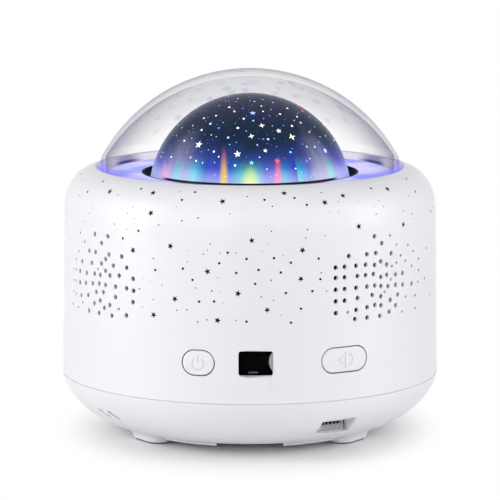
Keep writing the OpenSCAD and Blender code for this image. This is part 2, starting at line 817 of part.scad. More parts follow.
module turntable() {
    color("dimgray") difference() {
        union() {
            translate([0, 0, turntable_z - turntable_t]) cylinder(r = star_r, h = turntable_t, $fn = 180);
            translate([0, 0, hub_bottom_z]) cylinder(r = hub_r, h = hub_top_z - hub_bottom_z);
            translate([0, 0, turntable_z - eps])
                ring(star_r - star_t - fit_gap, star_r - star_t - fit_gap - lip_t, skirt_h - 1.6);
        }
        translate([0, 0, hub_bottom_z - eps]) cylinder(r = tower_r + running_gap, h = hub_top_z);
    }
}

module star_dome() {
    color("midnightblue") rotate_extrude($fn = 180) polygon(concat(
        [[star_r - star_t, turntable_z], [star_r, turntable_z]],
        [for (i = [0 : 45]) let (t = 2 * i) [star_r * cos(t), star_z + star_r * sin(t)]],
        reversed([for (i = [0 : 45]) let (t = 2 * i) [(star_r - star_t) * cos(t), star_z + (star_r - star_t) * sin(t)]])));
}

// ---------------------------------------------------------------- clear dome

dome_centre_z = dome_top_z - dome_sphere_r;
rim_bottom_z = groove_z + seat_gap;

function dome_arc(r_sphere, r_rim, steps = 40) =
    let (first = acos(r_rim / r_sphere))
    [for (i = [0 : steps]) let (t = first + (90 - first) * i / steps)
        [r_sphere * cos(t), dome_centre_z + r_sphere * sin(t)]];

module clear_dome() {
    color("aliceblue", 0.35) rotate_extrude($fn = 180) polygon(concat(
        [[dome_rim_r - dome_t, rim_bottom_z], [dome_rim_r, rim_bottom_z]],
        dome_arc(dome_sphere_r, dome_rim_r),
        reversed(dome_arc(dome_sphere_r - dome_t, dome_rim_r - dome_t))));
}

// ---------------------------------------------------------------- speakers

basket_r = flange_w / 2 - 0.5;
basket_bore = basket_r - 1.1;
magnet_r = 11;
magnet_front = speaker_w - 9;
magnet_back = magnet_front - 7.1;
coil_r = 7;
coil_t = 0.5;
coil_gap = 0.4;
roll_r = 1.5;            // rubber roll round the cone
roll_mid_r = basket_bore - roll_r - 0.2;
cone_r = roll_mid_r - roll_r - 0.4;
cone_front = speaker_w - 1.6;

module basket(az) {
    outward(az, speaker_z) difference() {
        union() {
            translate([0, 0, speaker_w - flange_t]) linear_extrude(flange_t) rounded_rect(flange_w, flange_w, 3);
            translate([0, 0, magnet_front + 1.2])
                cylinder(r1 = magnet_r + 2, r2 = basket_r, h = speaker_w - flange_t - magnet_front - 1.2 + eps);
            translate([0, 0, magnet_front]) cylinder(r = magnet_r + 2, h = 1.2 + eps);
        }
        translate([0, 0, magnet_front + 1.2])
            cylinder(r1 = magnet_r + 0.9, r2 = basket_bore, h = speaker_w - flange_t - magnet_front - 1.2 + 2 * eps);
        translate([0, 0, speaker_w - flange_t - 1]) cylinder(r = basket_bore, h = flange_t + 2);
        translate([0, 0, magnet_front - eps]) cylinder(r = coil_r + coil_t + coil_gap, h = 3);
        for (p = speaker_corners) translate([p[0], p[1], magnet_front])
            cylinder(r = screw_hole_r, h = 20, $fn = 24);
        for (a = [45 : 90 : 315]) rotate(a) translate([magnet_r + 3.2, 0, magnet_front + 0.8])
            cylinder(r = 2.2, h = 4.4, $fn = 32);
    }
}

module magnet(az) {
    outward(az, speaker_z) difference() {
        translate([0, 0, magnet_back]) cylinder(r = magnet_r, h = magnet_front - magnet_back);
        translate([0, 0, magnet_front - 4.4])
            ring(coil_r + coil_t + coil_gap, coil_r - coil_gap, 4.5);
    }
}

// Half-roll of rubber between the basket and the cone.
module surround(az) {
    outward(az, speaker_z) translate([0, 0, speaker_w - flange_t]) rotate_extrude() {
        translate([roll_mid_r + roll_r - 0.3, -0.3]) square([basket_bore - roll_mid_r - roll_r + 0.3, 0.6]);
        difference() {
            translate([roll_mid_r, 0]) circle(r = roll_r, $fn = 48);
            translate([roll_mid_r, 0]) circle(r = roll_r - 0.5, $fn = 48);
            translate([roll_mid_r - 3, -6]) square([6, 6]);
        }
    }
}

// Cone, dust cap and voice coil in one revolved outline, measured from the cone's front edge.
module cone(az) {
    depth = 5;
    cap = [for (i = [0 : 6]) let (r = i * (coil_r - 0.1) / 6) [r, 1.8 - depth - 1.3 * pow(r / coil_r, 2)]];
    outward(az, speaker_z) translate([0, 0, cone_front]) rotate_extrude() polygon(concat(cap, [
        [cone_r, 0.5], [cone_r, -0.1], [coil_r + coil_t, -depth], [coil_r + coil_t, -depth - 3.4],
        [coil_r, -depth - 3.4], [coil_r, -depth - 0.1], [0, 1.2 - depth]]));
}

module left_basket() { color("dimgray") basket(left_az); }
module right_basket() { color("dimgray") basket(right_az); }
module left_magnet() { color("silver") magnet(left_az); }
module right_magnet() { color("silver") magnet(right_az); }
module left_surround() { color("black") surround(left_az); }
module right_surround() { color("black") surround(right_az); }
module left_cone() { color("darkslategray") cone(left_az); }
module right_cone() { color("darkslategray") cone(right_az); }

cloth_t = 0.3;
cloth_gap = 0.02;
cloth_h = 2 * grille_rows * grille_step_z + 4;
cloth_w = 2 * (body_r - wall) * sin(squeezed(grille_cols) * grille_step_az) + 5;

// Foam ring that fills the space between the flange and the curved wall.
module speaker_gaskets() {
    color("black") for (az = speaker_az) intersection() {
        outward(az, speaker_z) translate([0, 0, speaker_w]) difference() {
            linear_extrude(10) rounded_rect(flange_w - 0.6, flange_w - 0.6, 3);
            translate([0, 0, -eps]) cylinder(r = basket_bore + 0.9, h = 11);
            for (p = speaker_corners) translate([p[0], p[1], -eps])
                cylinder(r = speaker_boss_r + fit_gap, h = 11, $fn = 32);
        }
        cylinder(r = body_top_r - wall - cloth_t - 0.1, h = ledge_top_z);
    }
}

// Thin cloth between the gasket and the grille.
module acoustic_cloths() {
    color("darkgray") for (az = speaker_az) intersection() {
        outward(az, speaker_z) linear_extrude(body_r) difference() {
            rounded_rect(cloth_w, cloth_h, 2);
            for (p = speaker_corners) translate(p) circle(r = speaker_boss_r + fit_gap, $fn = 32);
        }
        difference() {
            cylinder(r = body_top_r - wall - cloth_gap, h = ledge_top_z);
            translate([0, 0, -eps]) cylinder(r = body_top_r - wall - cloth_gap - cloth_t, h = ledge_top_z + 1);
        }
    }
}

module speaker_screws() {
    color("silver") each_speaker() for (p = speaker_corners) translate([p[0], p[1], speaker_w - flange_t])
        screw(flange_t + 3.6);
}

// ---------------------------------------------------------------- main board and power

module main_board() {
    color("darkgreen") usb_frame(board_z) difference() {
        translate([-board_left, board_edge, 0]) cube([board_left + board_right, board_l, board_t]);
        for (p = board_holes) translate([p[0], p[1], -eps]) cylinder(r = screw_hole_r, h = board_t + 1, $fn = 24);
    }
}

module board_chips() {
    color("black") usb_frame(board_z + board_t) {
        translate([-14, 12, 0]) cube([9, 9, 1.4]);
        translate([-25, 14, 0]) cube([5, 6, 1.5]);
        translate([-2, board_l - 10, 0]) cube([6, 5, 1.4]);
        translate([-board_left + 4, board_l - 12, 0]) cube([8, 4, 3.4]);
        translate([-14, board_l - 8, 0]) cube([8, 4, 3.4]);
        translate([3, 8, 0]) cylinder(r = 2.4, h = 5.2, $fn = 32);
        translate([-16, 6, 0]) cylinder(r = 2, h = 4.4, $fn = 32);
    }
}

module board_screws() {
    color("silver") for (p = board_holes) usb_frame(board_z + board_t) translate([p[0], p[1], 0])
        mirror([0, 0, 1]) screw(board_t + 2.2);
}

module usb_shell() {
    color("silver") usb_frame(usb_z) {
        difference() {
            translate([-usb_w / 2, 0, -usb_h / 2]) cube([usb_w, usb_l, usb_h]);
            translate([-usb_w / 2 + usb_wall, -eps, -usb_h / 2 + usb_wall])
                cube([usb_w - 2 * usb_wall, usb_l - usb_wall + eps, usb_h - 2 * usb_wall]);
        }
    }
}

module usb_tongue() {
    color("black") usb_frame(usb_z) {
        translate([-usb_w / 2 + usb_wall, usb_l - usb_wall - 2.6, -usb_h / 2 + usb_wall])
            cube([usb_w - 2 * usb_wall, 2.6, usb_h - 2 * usb_wall]);
        translate([-usb_w / 2 + 1.1, 1, 0.5]) cube([usb_w - 2.2, usb_l - 3, 1.8]);
    }
}

module battery_cell() {
    color("royalblue") translate([-cell_l / 2, cradle_y, cell_z]) rotate([0, 90, 0]) {
        cylinder(r = cell_r, h = cell_l);
        translate([0, 0, cell_l - eps]) cylinder(r = 3, h = cell_button + eps, $fn = 48);
    }
}

module battery_cradle() {
    color("black") difference() {
        translate([-cradle_l / 2, cradle_y - cradle_w / 2, floor_z]) cube([cradle_l, cradle_w, 12]);
        translate([-cell_l / 2 - 2.2, cradle_y - cell_r - fit_gap, floor_z + 1.3])
            cube([cell_l + 4.4, 2 * (cell_r + fit_gap), 12]);
    }
}

// Plates at both ends of the cell; the one at the flat end has a raised button.
module battery_contacts() {
    color("silver") {
        translate([cell_l / 2 + cell_button, cradle_y - 5, floor_z + 1.3]) cube([0.8, 10, 14]);
        translate([-cell_l / 2 - cell_button - 0.8, cradle_y - 5, floor_z + 1.3]) cube([0.8, 10, 14]);
        translate([-cell_l / 2 - cell_button - eps, cradle_y, cell_z]) rotate([0, 90, 0])
            cylinder(r = 3.4, h = cell_button + eps, $fn = 32);
    }
}

// ---------------------------------------------------------------- controls

nub_top = board_face + 4.4;      // top of a tact switch's stem
plunger_r = 2;
plunger_end = nub_top + button_travel + 0.3;
cap_flange_t = 1;
cap_flange_top = control_wall - 3.45;
cap_edge = 1.1;                  // reach of the flange past the cap

module control_boards() {
    color("seagreen") for (c = controls) outward(c[0], control_z) translate([c[1], 0, board_face - control_board_t])
        difference() {
            linear_extrude(control_board_t) rounded_rect(c[2], 2 * (boss_y + 2.8), 1);
            for (side = [-1, 1]) translate([0, side * boss_y, -eps]) cylinder(r = screw_hole_r, h = 3, $fn = 24);
        }
}

module control_screws() {
    color("silver") each_control_boss() translate([0, 0, board_face - control_board_t]) screw(control_board_t + 5);
}

module tact_switches() {
    color("dimgray") for (az = [power_az, sound_az]) outward(az, control_z) translate([0, 0, board_face]) {
        translate([-3, -3, 0]) cube([6, 6, 3.4]);
        cylinder(r = 1.7, h = 4.4, $fn = 32);
    }
}

module slide_switch() {
    color("gray") outward(slide_az, control_z) translate([0, 0, board_face]) difference() {
        translate([knob_x - slide_travel - 3.4, -3, 0]) cube([slide_travel + 6.8, 6, 4]);
        translate([knob_x - slide_travel - 1.6, -1.5, 1.2]) cube([slide_travel + 3.2, 3, 4]);
    }
}

stem_half = 1.2;         // half the width of the knob's stem
stem_gap = 0.4;          // room round the stem in the bay's slot
stem_rise = 1.6;         // height of the stem's end above the board
bezel_back = 1.2;        // thickness of the bay's floor
light_x = -2.65;         // light bar: its left and lower edges, width and height
light_y = -4.75;
light_w = 3.7;
light_h = 0.6;

// Black bay behind the window, clamped between the board and the wall.
module switch_bezel() {
    outer_w = bezel_right - bezel_left + 2 * bezel_wall;
    color("black") intersection() {
        outward(slide_az, control_z) difference() {
            translate([bezel_left - bezel_wall, -bezel_half_h - bezel_wall, board_face])
                cube([outer_w, 2 * (bezel_half_h + bezel_wall), 12]);
            translate([bezel_left, -bezel_half_h, bezel_floor])
                cube([bezel_right - bezel_left, 2 * bezel_half_h, 10]);
            translate([bezel_left, -bezel_half_h, board_face - eps])
                cube([bezel_right - bezel_left, 2 * bezel_half_h, bezel_floor - board_face - bezel_back]);
            translate([knob_x - slide_travel - stem_half - stem_gap, -stem_half - stem_gap, board_face])
                cube([slide_travel + 2 * (stem_half + stem_gap), 2 * (stem_half + stem_gap), 10]);
            translate([light_x, light_y, board_face]) cube([light_w, light_h, 10]);
        }
        cylinder(r = body_top_r - wall + 0.3, h = shoulder_z);
    }
}

// Light bar in the floor of the bay.
module status_light() {
    color("gainsboro") outward(slide_az, control_z) translate([light_x, light_y, bezel_floor - bezel_back])
        cube([light_w, light_h, bezel_back + 0.15]);
}

module slide_knob() {
    color("gainsboro") outward(slide_az, control_z) translate([knob_x, 0, 0]) {
        translate([0, 0, knob_back]) cylinder(r = knob_r, h = knob_t);
        translate([-stem_half, -stem_half, board_face + stem_rise])
            cube([2 * stem_half, 2 * stem_half, knob_back - board_face - stem_rise + eps]);
    }
}

// Button whose face follows the wall, held in by a flange behind it.
module button_cap(az, w) {
    color("white") {
        intersection() {
            outward(az, control_z) translate([0, 0, cap_flange_top - eps]) linear_extrude(12) stadium(w, button_h);
            cylinder(r = side_r(control_z) + button_proud, h = shoulder_z);
        }
        outward(az, control_z) translate([0, 0, cap_flange_top - cap_flange_t]) linear_extrude(cap_flange_t)
            stadium(w + 2 * cap_edge, button_h + 2 * cap_edge);
    }
}

module plunger(az) {
    color("lightgray") outward(az, control_z) translate([0, 0, plunger_end])
        cylinder(r = plunger_r, h = cap_flange_top - cap_flange_t - plunger_end, $fn = 48);
}

module power_button() { button_cap(power_az, power_w); }
module sound_button() { button_cap(sound_az, sound_w); }
module power_plunger() { plunger(power_az); }
module sound_plunger() { plunger(sound_az); }

// ---------------------------------------------------------------- assembly

base_shell();
bottom_cover();
foot_pads();
base_screws();
cover_screws();
upper_housing();
deck_ring();
light_baffle();
halo_board();
halo_leds();
halo_screws();
chassis();
chassis_screws();
light_tower();
led_board();
led_emitters();
centre_led();
bearing_washer();
retaining_ring();
motor_can();
motor_plate();
motor_screws();
left_basket();
right_basket();
left_magnet();
right_magnet();
left_surround();
right_surround();
speaker_gaskets();
speaker_screws();
acoustic_cloths();
main_board();
board_chips();
board_screws();
usb_shell();
usb_tongue();
battery_cell();
battery_cradle();
battery_contacts();
control_boards();
tact_switches();
slide_switch();
switch_bezel();
status_light();
control_screws();
star_dome();
turntable();
ring_gear();
pinion();
motor_shaft();
clear_dome();
power_button();
power_plunger();
sound_button();
sound_plunger();
slide_knob();
left_cone();
right_cone();
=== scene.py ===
"""Looks for a star night light projector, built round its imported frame.

Sizes are in millimetres in the pieces' fields, and in metres in a mesh and in the finishes that
read its coordinates. +Z is up and the controls face -Y. Azimuths are in degrees from the front,
positive towards +X.
"""

import json
import logging
from collections.abc import Callable, Iterable, Sequence
from dataclasses import dataclass
from enum import Enum
from math import acos, asin, copysign, cos, degrees, hypot, pi, radians, sin, sqrt

import bpy
import numpy as np
from mathutils import Matrix, Vector

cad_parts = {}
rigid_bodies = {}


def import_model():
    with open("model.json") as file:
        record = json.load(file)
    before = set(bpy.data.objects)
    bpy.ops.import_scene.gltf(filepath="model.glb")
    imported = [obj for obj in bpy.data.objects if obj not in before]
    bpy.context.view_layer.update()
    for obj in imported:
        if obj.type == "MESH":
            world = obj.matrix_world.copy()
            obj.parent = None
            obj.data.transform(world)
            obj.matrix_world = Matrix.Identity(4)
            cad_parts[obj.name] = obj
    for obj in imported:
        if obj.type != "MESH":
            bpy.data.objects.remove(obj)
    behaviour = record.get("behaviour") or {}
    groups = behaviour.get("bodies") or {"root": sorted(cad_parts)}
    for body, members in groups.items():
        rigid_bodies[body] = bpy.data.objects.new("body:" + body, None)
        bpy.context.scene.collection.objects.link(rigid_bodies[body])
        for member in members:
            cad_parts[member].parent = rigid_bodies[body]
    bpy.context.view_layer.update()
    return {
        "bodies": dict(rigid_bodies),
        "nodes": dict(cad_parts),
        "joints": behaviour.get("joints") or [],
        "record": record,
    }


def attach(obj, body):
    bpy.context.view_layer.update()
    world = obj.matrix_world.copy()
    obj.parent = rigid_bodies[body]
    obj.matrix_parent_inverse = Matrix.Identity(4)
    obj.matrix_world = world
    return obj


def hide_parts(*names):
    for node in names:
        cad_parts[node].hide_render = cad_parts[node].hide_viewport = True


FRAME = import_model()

log = logging.getLogger("projector")
MM = 0.001
Colour = tuple[float, float, float]
Point = tuple[float, float]
Piece = bpy.types.Object
Mesh = bpy.types.Mesh


def srgb(red: int, green: int, blue: int) -> Colour:
    """Linear colour of three display values from 0 to 255."""
    values = (red, green, blue)
    return tuple(((c / 255 + 0.055) / 1.055) ** 2.4 if c > 10 else c / (255 * 12.92) for c in values)


# ---- node trees


def arithmetic(operation: str, swapped: bool = False) -> "Callable[..., Wire]":
    """A method of a wire that adds one Math node, with the wire second where it is swapped."""

    def run(wire: "Wire", *others: "Wire | float") -> "Wire":
        """The node's result."""
        return wire.maths(operation, wire, first=others[0]) if swapped else wire.maths(operation, *others)

    return run


class Wire:
    """An output of a node that Python's operators can combine with others and with numbers."""

    __add__ = __radd__ = arithmetic("ADD")
    __sub__, __rsub__ = arithmetic("SUBTRACT"), arithmetic("SUBTRACT", True)
    __mul__ = __rmul__ = arithmetic("MULTIPLY")
    __truediv__, __rtruediv__ = arithmetic("DIVIDE"), arithmetic("DIVIDE", True)
    __pow__, __abs__ = arithmetic("POWER"), arithmetic("ABSOLUTE")
    __lt__, __gt__ = arithmetic("LESS_THAN"), arithmetic("GREATER_THAN")

    def __init__(self, recipe: "Recipe", socket: bpy.types.NodeSocket) -> None:
        """Keeps the recipe that the socket belongs to."""
        self.recipe = recipe
        self.socket = socket

    def of(self, name: str) -> "Wire":
        """Another output of the same node, by its name."""
        outputs = self.socket.node.outputs
        return Wire(self.recipe, next(s for s in outputs if s.name == name and s.enabled))

    def maths(self, operation: str, *others: "Wire | float", first: "Wire | float | None" = None) -> "Wire":
        """One Math node on this wire and others.

        Args:
            operation: the Math node's operation.
            others: the values of its sockets after the first.
            first: what goes in the first socket, where that isn't this wire.

        Returns:
            The node's result.
        """
        values = dict(enumerate([self if first is None else first, *others]))
        return self.recipe.node("ShaderNodeMath", values, operation=operation)

    def ramp(self, low: float, high: float, to: Point = (0.0, 1.0)) -> "Wire":
        """A smooth step from to[0] at low to to[1] at high."""
        values = {"Value": self, "From Min": low, "From Max": high, "To Min": to[0], "To Max": to[1]}
        return self.recipe.node("ShaderNodeMapRange", values, interpolation_type="SMOOTHSTEP")


def length(*parts: Wire) -> Wire:
    """The length of a line that has these parts along the axes."""
    return sum((part * part for part in parts[1:]), parts[0] * parts[0]).maths("SQRT")


class Recipe:
    """Writes the nodes of one tree, a material's or a geometry one's."""

    def __init__(self, tree: bpy.types.NodeTree) -> None:
        """Starts on an empty tree."""
        self.tree = tree
        tree.nodes.clear()

    def node(self, kind: str, values: dict | None = None, **settings: object) -> Wire:
        """Adds a node.

        Args:
            kind: the node's type name.
            values: what goes in its sockets, by name or number: a wire or a plain value.
            settings: the node's own settings, which are set first.

        Returns:
            Its first output.
        """
        made = self.tree.nodes.new(kind)
        for key, value in settings.items():
            setattr(made, key, value)
        for key, value in (values or {}).items():
            sockets = [s for s in made.inputs if s.enabled]
            socket = sockets[key] if isinstance(key, int) else next(s for s in sockets if s.name == key)
            for one in value if isinstance(value, list) else [value]:
                if isinstance(one, Wire):
                    self.tree.links.new(one.socket, socket)
                else:
                    socket.default_value = one
        outputs = [s for s in made.outputs if s.enabled]
        return Wire(self, outputs[0]) if outputs else None

    def colours(self, place: Wire, stops: Sequence[tuple[float, Colour]]) -> Wire:
        """The colour at a place from 0 to 1 of a ramp with (place, colour) stops."""
        made = self.node("ShaderNodeValToRGB", {"Fac": place})
        elements = made.socket.node.color_ramp.elements
        while len(elements) < len(stops):
            elements.new(1.0)
        for element, (at, colour) in zip(elements, stops):
            element.position = at
            element.color = (*colour, 1.0)
        return made

    def mix(self, share: Wire | float, a: "Wire | Colour", b: "Wire | Colour") -> Wire:
        """Colour a turned into colour b by a share from 0 to 1."""
        ends = [c if isinstance(c, Wire) else (*c, 1.0) for c in (a, b)]
        return self.node("ShaderNodeMix", {"Factor": share, "A": ends[0], "B": ends[1]}, data_type="RGBA")

    def carried(self, name: str) -> Wire:
        """The colour that the mesh carries under a name."""
        return self.node("ShaderNodeAttribute", attribute_name=name).of("Color")

    def seen(self) -> Wire:
        """1 for rays from the camera and for reflected and transmitted ones, else 0."""
        path = self.node("ShaderNodeLightPath")
        either = path.of("Is Camera Ray").maths("MAXIMUM", path.of("Is Glossy Ray"))
        return either.maths("MAXIMUM", path.of("Is Transmission Ray"))

    def place(self) -> Wire:
        """Object coordinates."""
        return self.node("ShaderNodeTexCoord").of("Object")

    def axes(self) -> tuple[Wire, Wire, Wire]:
        """The three Object coordinates, in metres."""
        split = self.node("ShaderNodeSeparateXYZ", {"Vector": self.place()})
        return split.of("X"), split.of("Y"), split.of("Z")

    def noise(self, scale: float, detail: float = 2.0, stretch: Sequence[float] = (1, 1, 1)) -> Wire:
        """Noise from 0 to 1 on Object coordinates, with a scale per metre for each axis."""
        sized = self.node("ShaderNodeMapping", {"Vector": self.place(), "Scale": tuple(stretch)})
        return self.node("ShaderNodeTexNoise", {"Vector": sized, "Scale": scale, "Detail": detail})

    def cells(self, scale: float, feature: str) -> Wire:
        """Voronoi cells on Object coordinates."""
        return self.node("ShaderNodeTexVoronoi", {"Vector": self.place(), "Scale": scale}, feature=feature)

    def bump(self, height: Wire, strength: float, distance: float) -> Wire:
        """A Bump node's normal for a height."""
        return self.node("ShaderNodeBump", {"Height": height, "Strength": strength, "Distance": distance})


# ---- finishes


@dataclass(frozen=True)
class Finish:
    """What every finish has: a name, the record's slot, a colour and a roughness."""

    name: str
    slot: str
    colour: Colour
    rough: float = 0.4

    def material(self) -> bpy.types.Material:
        """The finish's material, made once."""
        known = bpy.data.materials.get(self.name)
        if known:
            return known
        made = bpy.data.materials.new(self.name)
        made.use_nodes = True
        made.diffuse_color = (*self.colour, 1.0)
        recipe = Recipe(made.node_tree)
        recipe.node("ShaderNodeOutputMaterial", {"Surface": self.surface(recipe)})
        return made

    def shell(self, recipe: Recipe, values: dict) -> Wire:
        """A Principled shader with this finish's colour and roughness and other values."""
        base = {"Base Color": (*self.colour, 1.0), "Roughness": self.rough}
        return recipe.node("ShaderNodeBsdfPrincipled", {**base, **values})

    def shade(self, factor: float, lift: float = 0.0) -> Colour:
        """This finish's colour, made darker or lighter."""
        return tuple(min(1.0, c * factor + lift) for c in self.colour)

    def surface(self, recipe: Recipe) -> Wire:
        """The shader. Each kind of finish has its own."""
        raise NotImplementedError


@dataclass(frozen=True)
class Moulded(Finish):
    """Moulded plastic: faint flow marks, a spark-eroded grain and a little uneven gloss."""

    grain: float = 2600.0
    relief: float = 0.05
    coat: float = 0.0
    spread: float = 0.02
    gloss: float = 0.45

    def surface(self, recipe: Recipe) -> Wire:
        """Colour, gloss and grain from noise at two scales."""
        flow = recipe.noise(38.0, 3.0)
        grain = recipe.noise(self.grain, 2.0)
        return self.shell(recipe, {
            "Base Color": self.tone(recipe, flow),
            "Roughness": self.rough + (flow - 0.5) * 0.08 + (grain - 0.5) * 0.05,
            "Normal": recipe.bump(grain, self.relief, 0.00004),
            "Coat Weight": self.coat,
            "Coat Roughness": 0.12,
            "Specular IOR Level": self.gloss,
        })

    def tone(self, recipe: Recipe, flow: Wire) -> Wire:
        """The colour with its flow marks."""
        return recipe.mix(flow, self.shade(1 - 2 * self.spread), self.colour)


@dataclass(frozen=True)
class Cap(Moulded):
    """Moulded plastic of a button, with painted shade on its sides below its face, where they sit in the gap
    round it.
    """

    face: float = 0.0741
    edge: float = 0.0003
    # Painted shade: the colour of the cap's sides below the face, in the gap round the button.
    skirt: Colour = (0.03, 0.03, 0.032)

    def tone(self, recipe: Recipe, flow: Wire) -> Wire:
        """The plain colour on the face, and painted shade below it."""
        x, y, _ = recipe.axes()
        on_face = length(x, y).ramp(self.face - self.edge, self.face)
        return recipe.mix(on_face, self.skirt, super().tone(recipe, flow))


@dataclass(frozen=True)
class Metal(Finish):
    """Plated or drawn metal with fine brushing along one axis."""

    brush: tuple[float, float, float] = (1.0, 1.0, 0.05)

    def surface(self, recipe: Recipe) -> Wire:
        """Brushing in the gloss and the relief, and faint clouding in the colour."""
        lines = recipe.noise(2200.0, 3.0, self.brush)
        cloud = recipe.noise(90.0, 3.0)
        return self.shell(recipe, {
            "Base Color": recipe.mix(cloud, self.shade(0.82), self.colour),
            "Metallic": 1.0,
            "Roughness": self.rough + (lines - 0.5) * 0.2,
            "Normal": recipe.bump(lines, 0.12, 0.00003),
        })


@dataclass(frozen=True)
class SolderMask(Finish):
    """Circuit board: lacquer over copper, with raised tracks showing through it."""

    def surface(self, recipe: Recipe) -> Wire:
        """Tracks from the edges of voronoi cells, lighter than the board between them."""
        cells = recipe.cells(420.0, "DISTANCE_TO_EDGE")
        tracks = cells.ramp(0.03, 0.06, (1.0, 0.0))
        return self.shell(recipe, {
            "Base Color": recipe.mix(tracks, self.colour, self.shade(1.9, 0.01)),
            "Roughness": self.rough + tracks * 0.08,
            "Normal": recipe.bump(tracks, 0.4, 0.00003),
            "Coat Weight": 0.4,
        })


@dataclass(frozen=True)
class Woven(Finish):
    """Thin black cloth with crossing threads."""

    pitch: float = 2400.0

    def surface(self, recipe: Recipe) -> Wire:
        """Two sets of threads that pass over each other."""
        x, y, z = recipe.axes()
        over = (x - y) * self.pitch
        up = z * self.pitch
        threads = (over.maths("SINE") * up.maths("SINE") + 1) * 0.5
        return self.shell(recipe, {
            "Base Color": recipe.mix(threads, self.colour, self.shade(2.2, 0.01)),
            "Roughness": 0.8 + threads * 0.1,
            "Normal": recipe.bump(threads, 0.8, 0.0001),
            "Sheen Weight": 0.3,
        })


@dataclass(frozen=True)
class Foam(Finish):
    """Foam or rubber: matt, with open pores."""

    pores: float = 1800.0
    depth: float = 0.6

    def surface(self, recipe: Recipe) -> Wire:
        """Pores from voronoi cells."""
        cells = recipe.cells(self.pores, "F1")
        return self.shell(recipe, {
            "Base Color": recipe.mix(cells, self.colour, self.shade(1.6, 0.01)),
            "Roughness": self.rough + cells * 0.1,
            "Normal": recipe.bump(cells, self.depth, 0.00008),
        })


@dataclass(frozen=True)
class ClearWall(Finish):
    """Clear polystyrene: see-through face on, grey and glossy where the wall turns away.

    Its painted light, in the mesh's "glow" colours, stands for the spots that the star dome throws on it and
    for a reflection of the lit ring along its foot.
    """

    body: float = 0.004
    edge: float = 1.2
    sharp: float = 10.0
    lit: bool = True
    centre: float = 0.0774
    faces: Point = (0.0665, 0.0671)
    inner_fade: Point = (0.128, 0.140)
    outer_rise: Point = (0.112, 0.134)
    crown: Point = (0.112, 0.138)
    spot: float = 0.3

    def surface(self, recipe: Recipe) -> Wire:
        """A transparent shader that gives way to a glossy one towards the outline."""
        weight = recipe.node("ShaderNodeLayerWeight", {"Blend": 0.5}).of("Facing")
        haze = recipe.noise(26.0, 2.0)
        wall = {
            "Base Color": recipe.mix(haze, self.shade(0.9), self.colour),
            "Roughness": self.rough + haze * 0.03,
            "Specular IOR Level": 0.12,
        }
        rim = weight ** self.sharp * self.edge
        share = self.body + rim
        if self.lit:
            # Painted light and painted reflection, from the mesh's "glow" colours.
            glow = recipe.carried("glow")
            wall.update({"Specular IOR Level": 0.03, "Emission Color": glow, "Emission Strength": 1.0})
            level = recipe.node("ShaderNodeSeparateColor", {"Color": glow})
            spots = (level.of("Red") + level.of("Green") + level.of("Blue")) * self.spot
            share = self.body + self.thickness(recipe, rim, weight) + spots
        clear = recipe.node("ShaderNodeBsdfTransparent", {"Color": (1.0, 1.0, 1.0, 1.0)})
        share = share.maths("MINIMUM", 0.95)
        return recipe.node("ShaderNodeMixShader", {0: share, 1: clear, 2: self.shell(recipe, wall)})

    def thickness(self, recipe: Recipe, rim: Wire, weight: Wire) -> Wire:
        """How much of the wall shows: its two faces' edges, and a veil that shifts outwards with height."""
        x, y, z = recipe.axes()
        outside = length(x, y, z - self.centre).ramp(*self.faces)
        inner, outer = z.ramp(*self.inner_fade, (1.2, 0.2)), z.ramp(*self.outer_rise, (0.35, 1.2))
        low, high = weight.ramp(0.38, 0.78, (0.0, 0.2)), weight.ramp(0.15, 0.6, (0.0, 0.085))
        return rim * (inner + (outer - inner) * outside) + low + (high - low) * z.ramp(*self.crown)


@dataclass(frozen=True)
class Flame:
    """A tongue of coloured light that climbs the star dome's front, at a place across it in millimetres."""

    across: float
    half: float
    top: float
    low: Colour
    high: Colour

    def over(self, recipe: Recipe, lit: Wire, height: Wire) -> Wire:
        """The light with this flame laid over it."""
        x, y, _ = recipe.axes()
        rise = (height / self.top).maths("MAXIMUM", 0.0)
        width = (1.0 - rise).maths("MAXIMUM", 0.02) ** 0.45 * self.half + 0.3
        away = (abs(x / MM - self.across) / width).maths("MINIMUM", 1.0)
        mask = (1.0 - away * away) ** 2.0 * (1.0 - rise).ramp(0.0, 0.8) * (y < 0.0)
        return recipe.mix(mask.maths("MINIMUM", 1.0), lit, recipe.mix(rise, self.low, self.high))


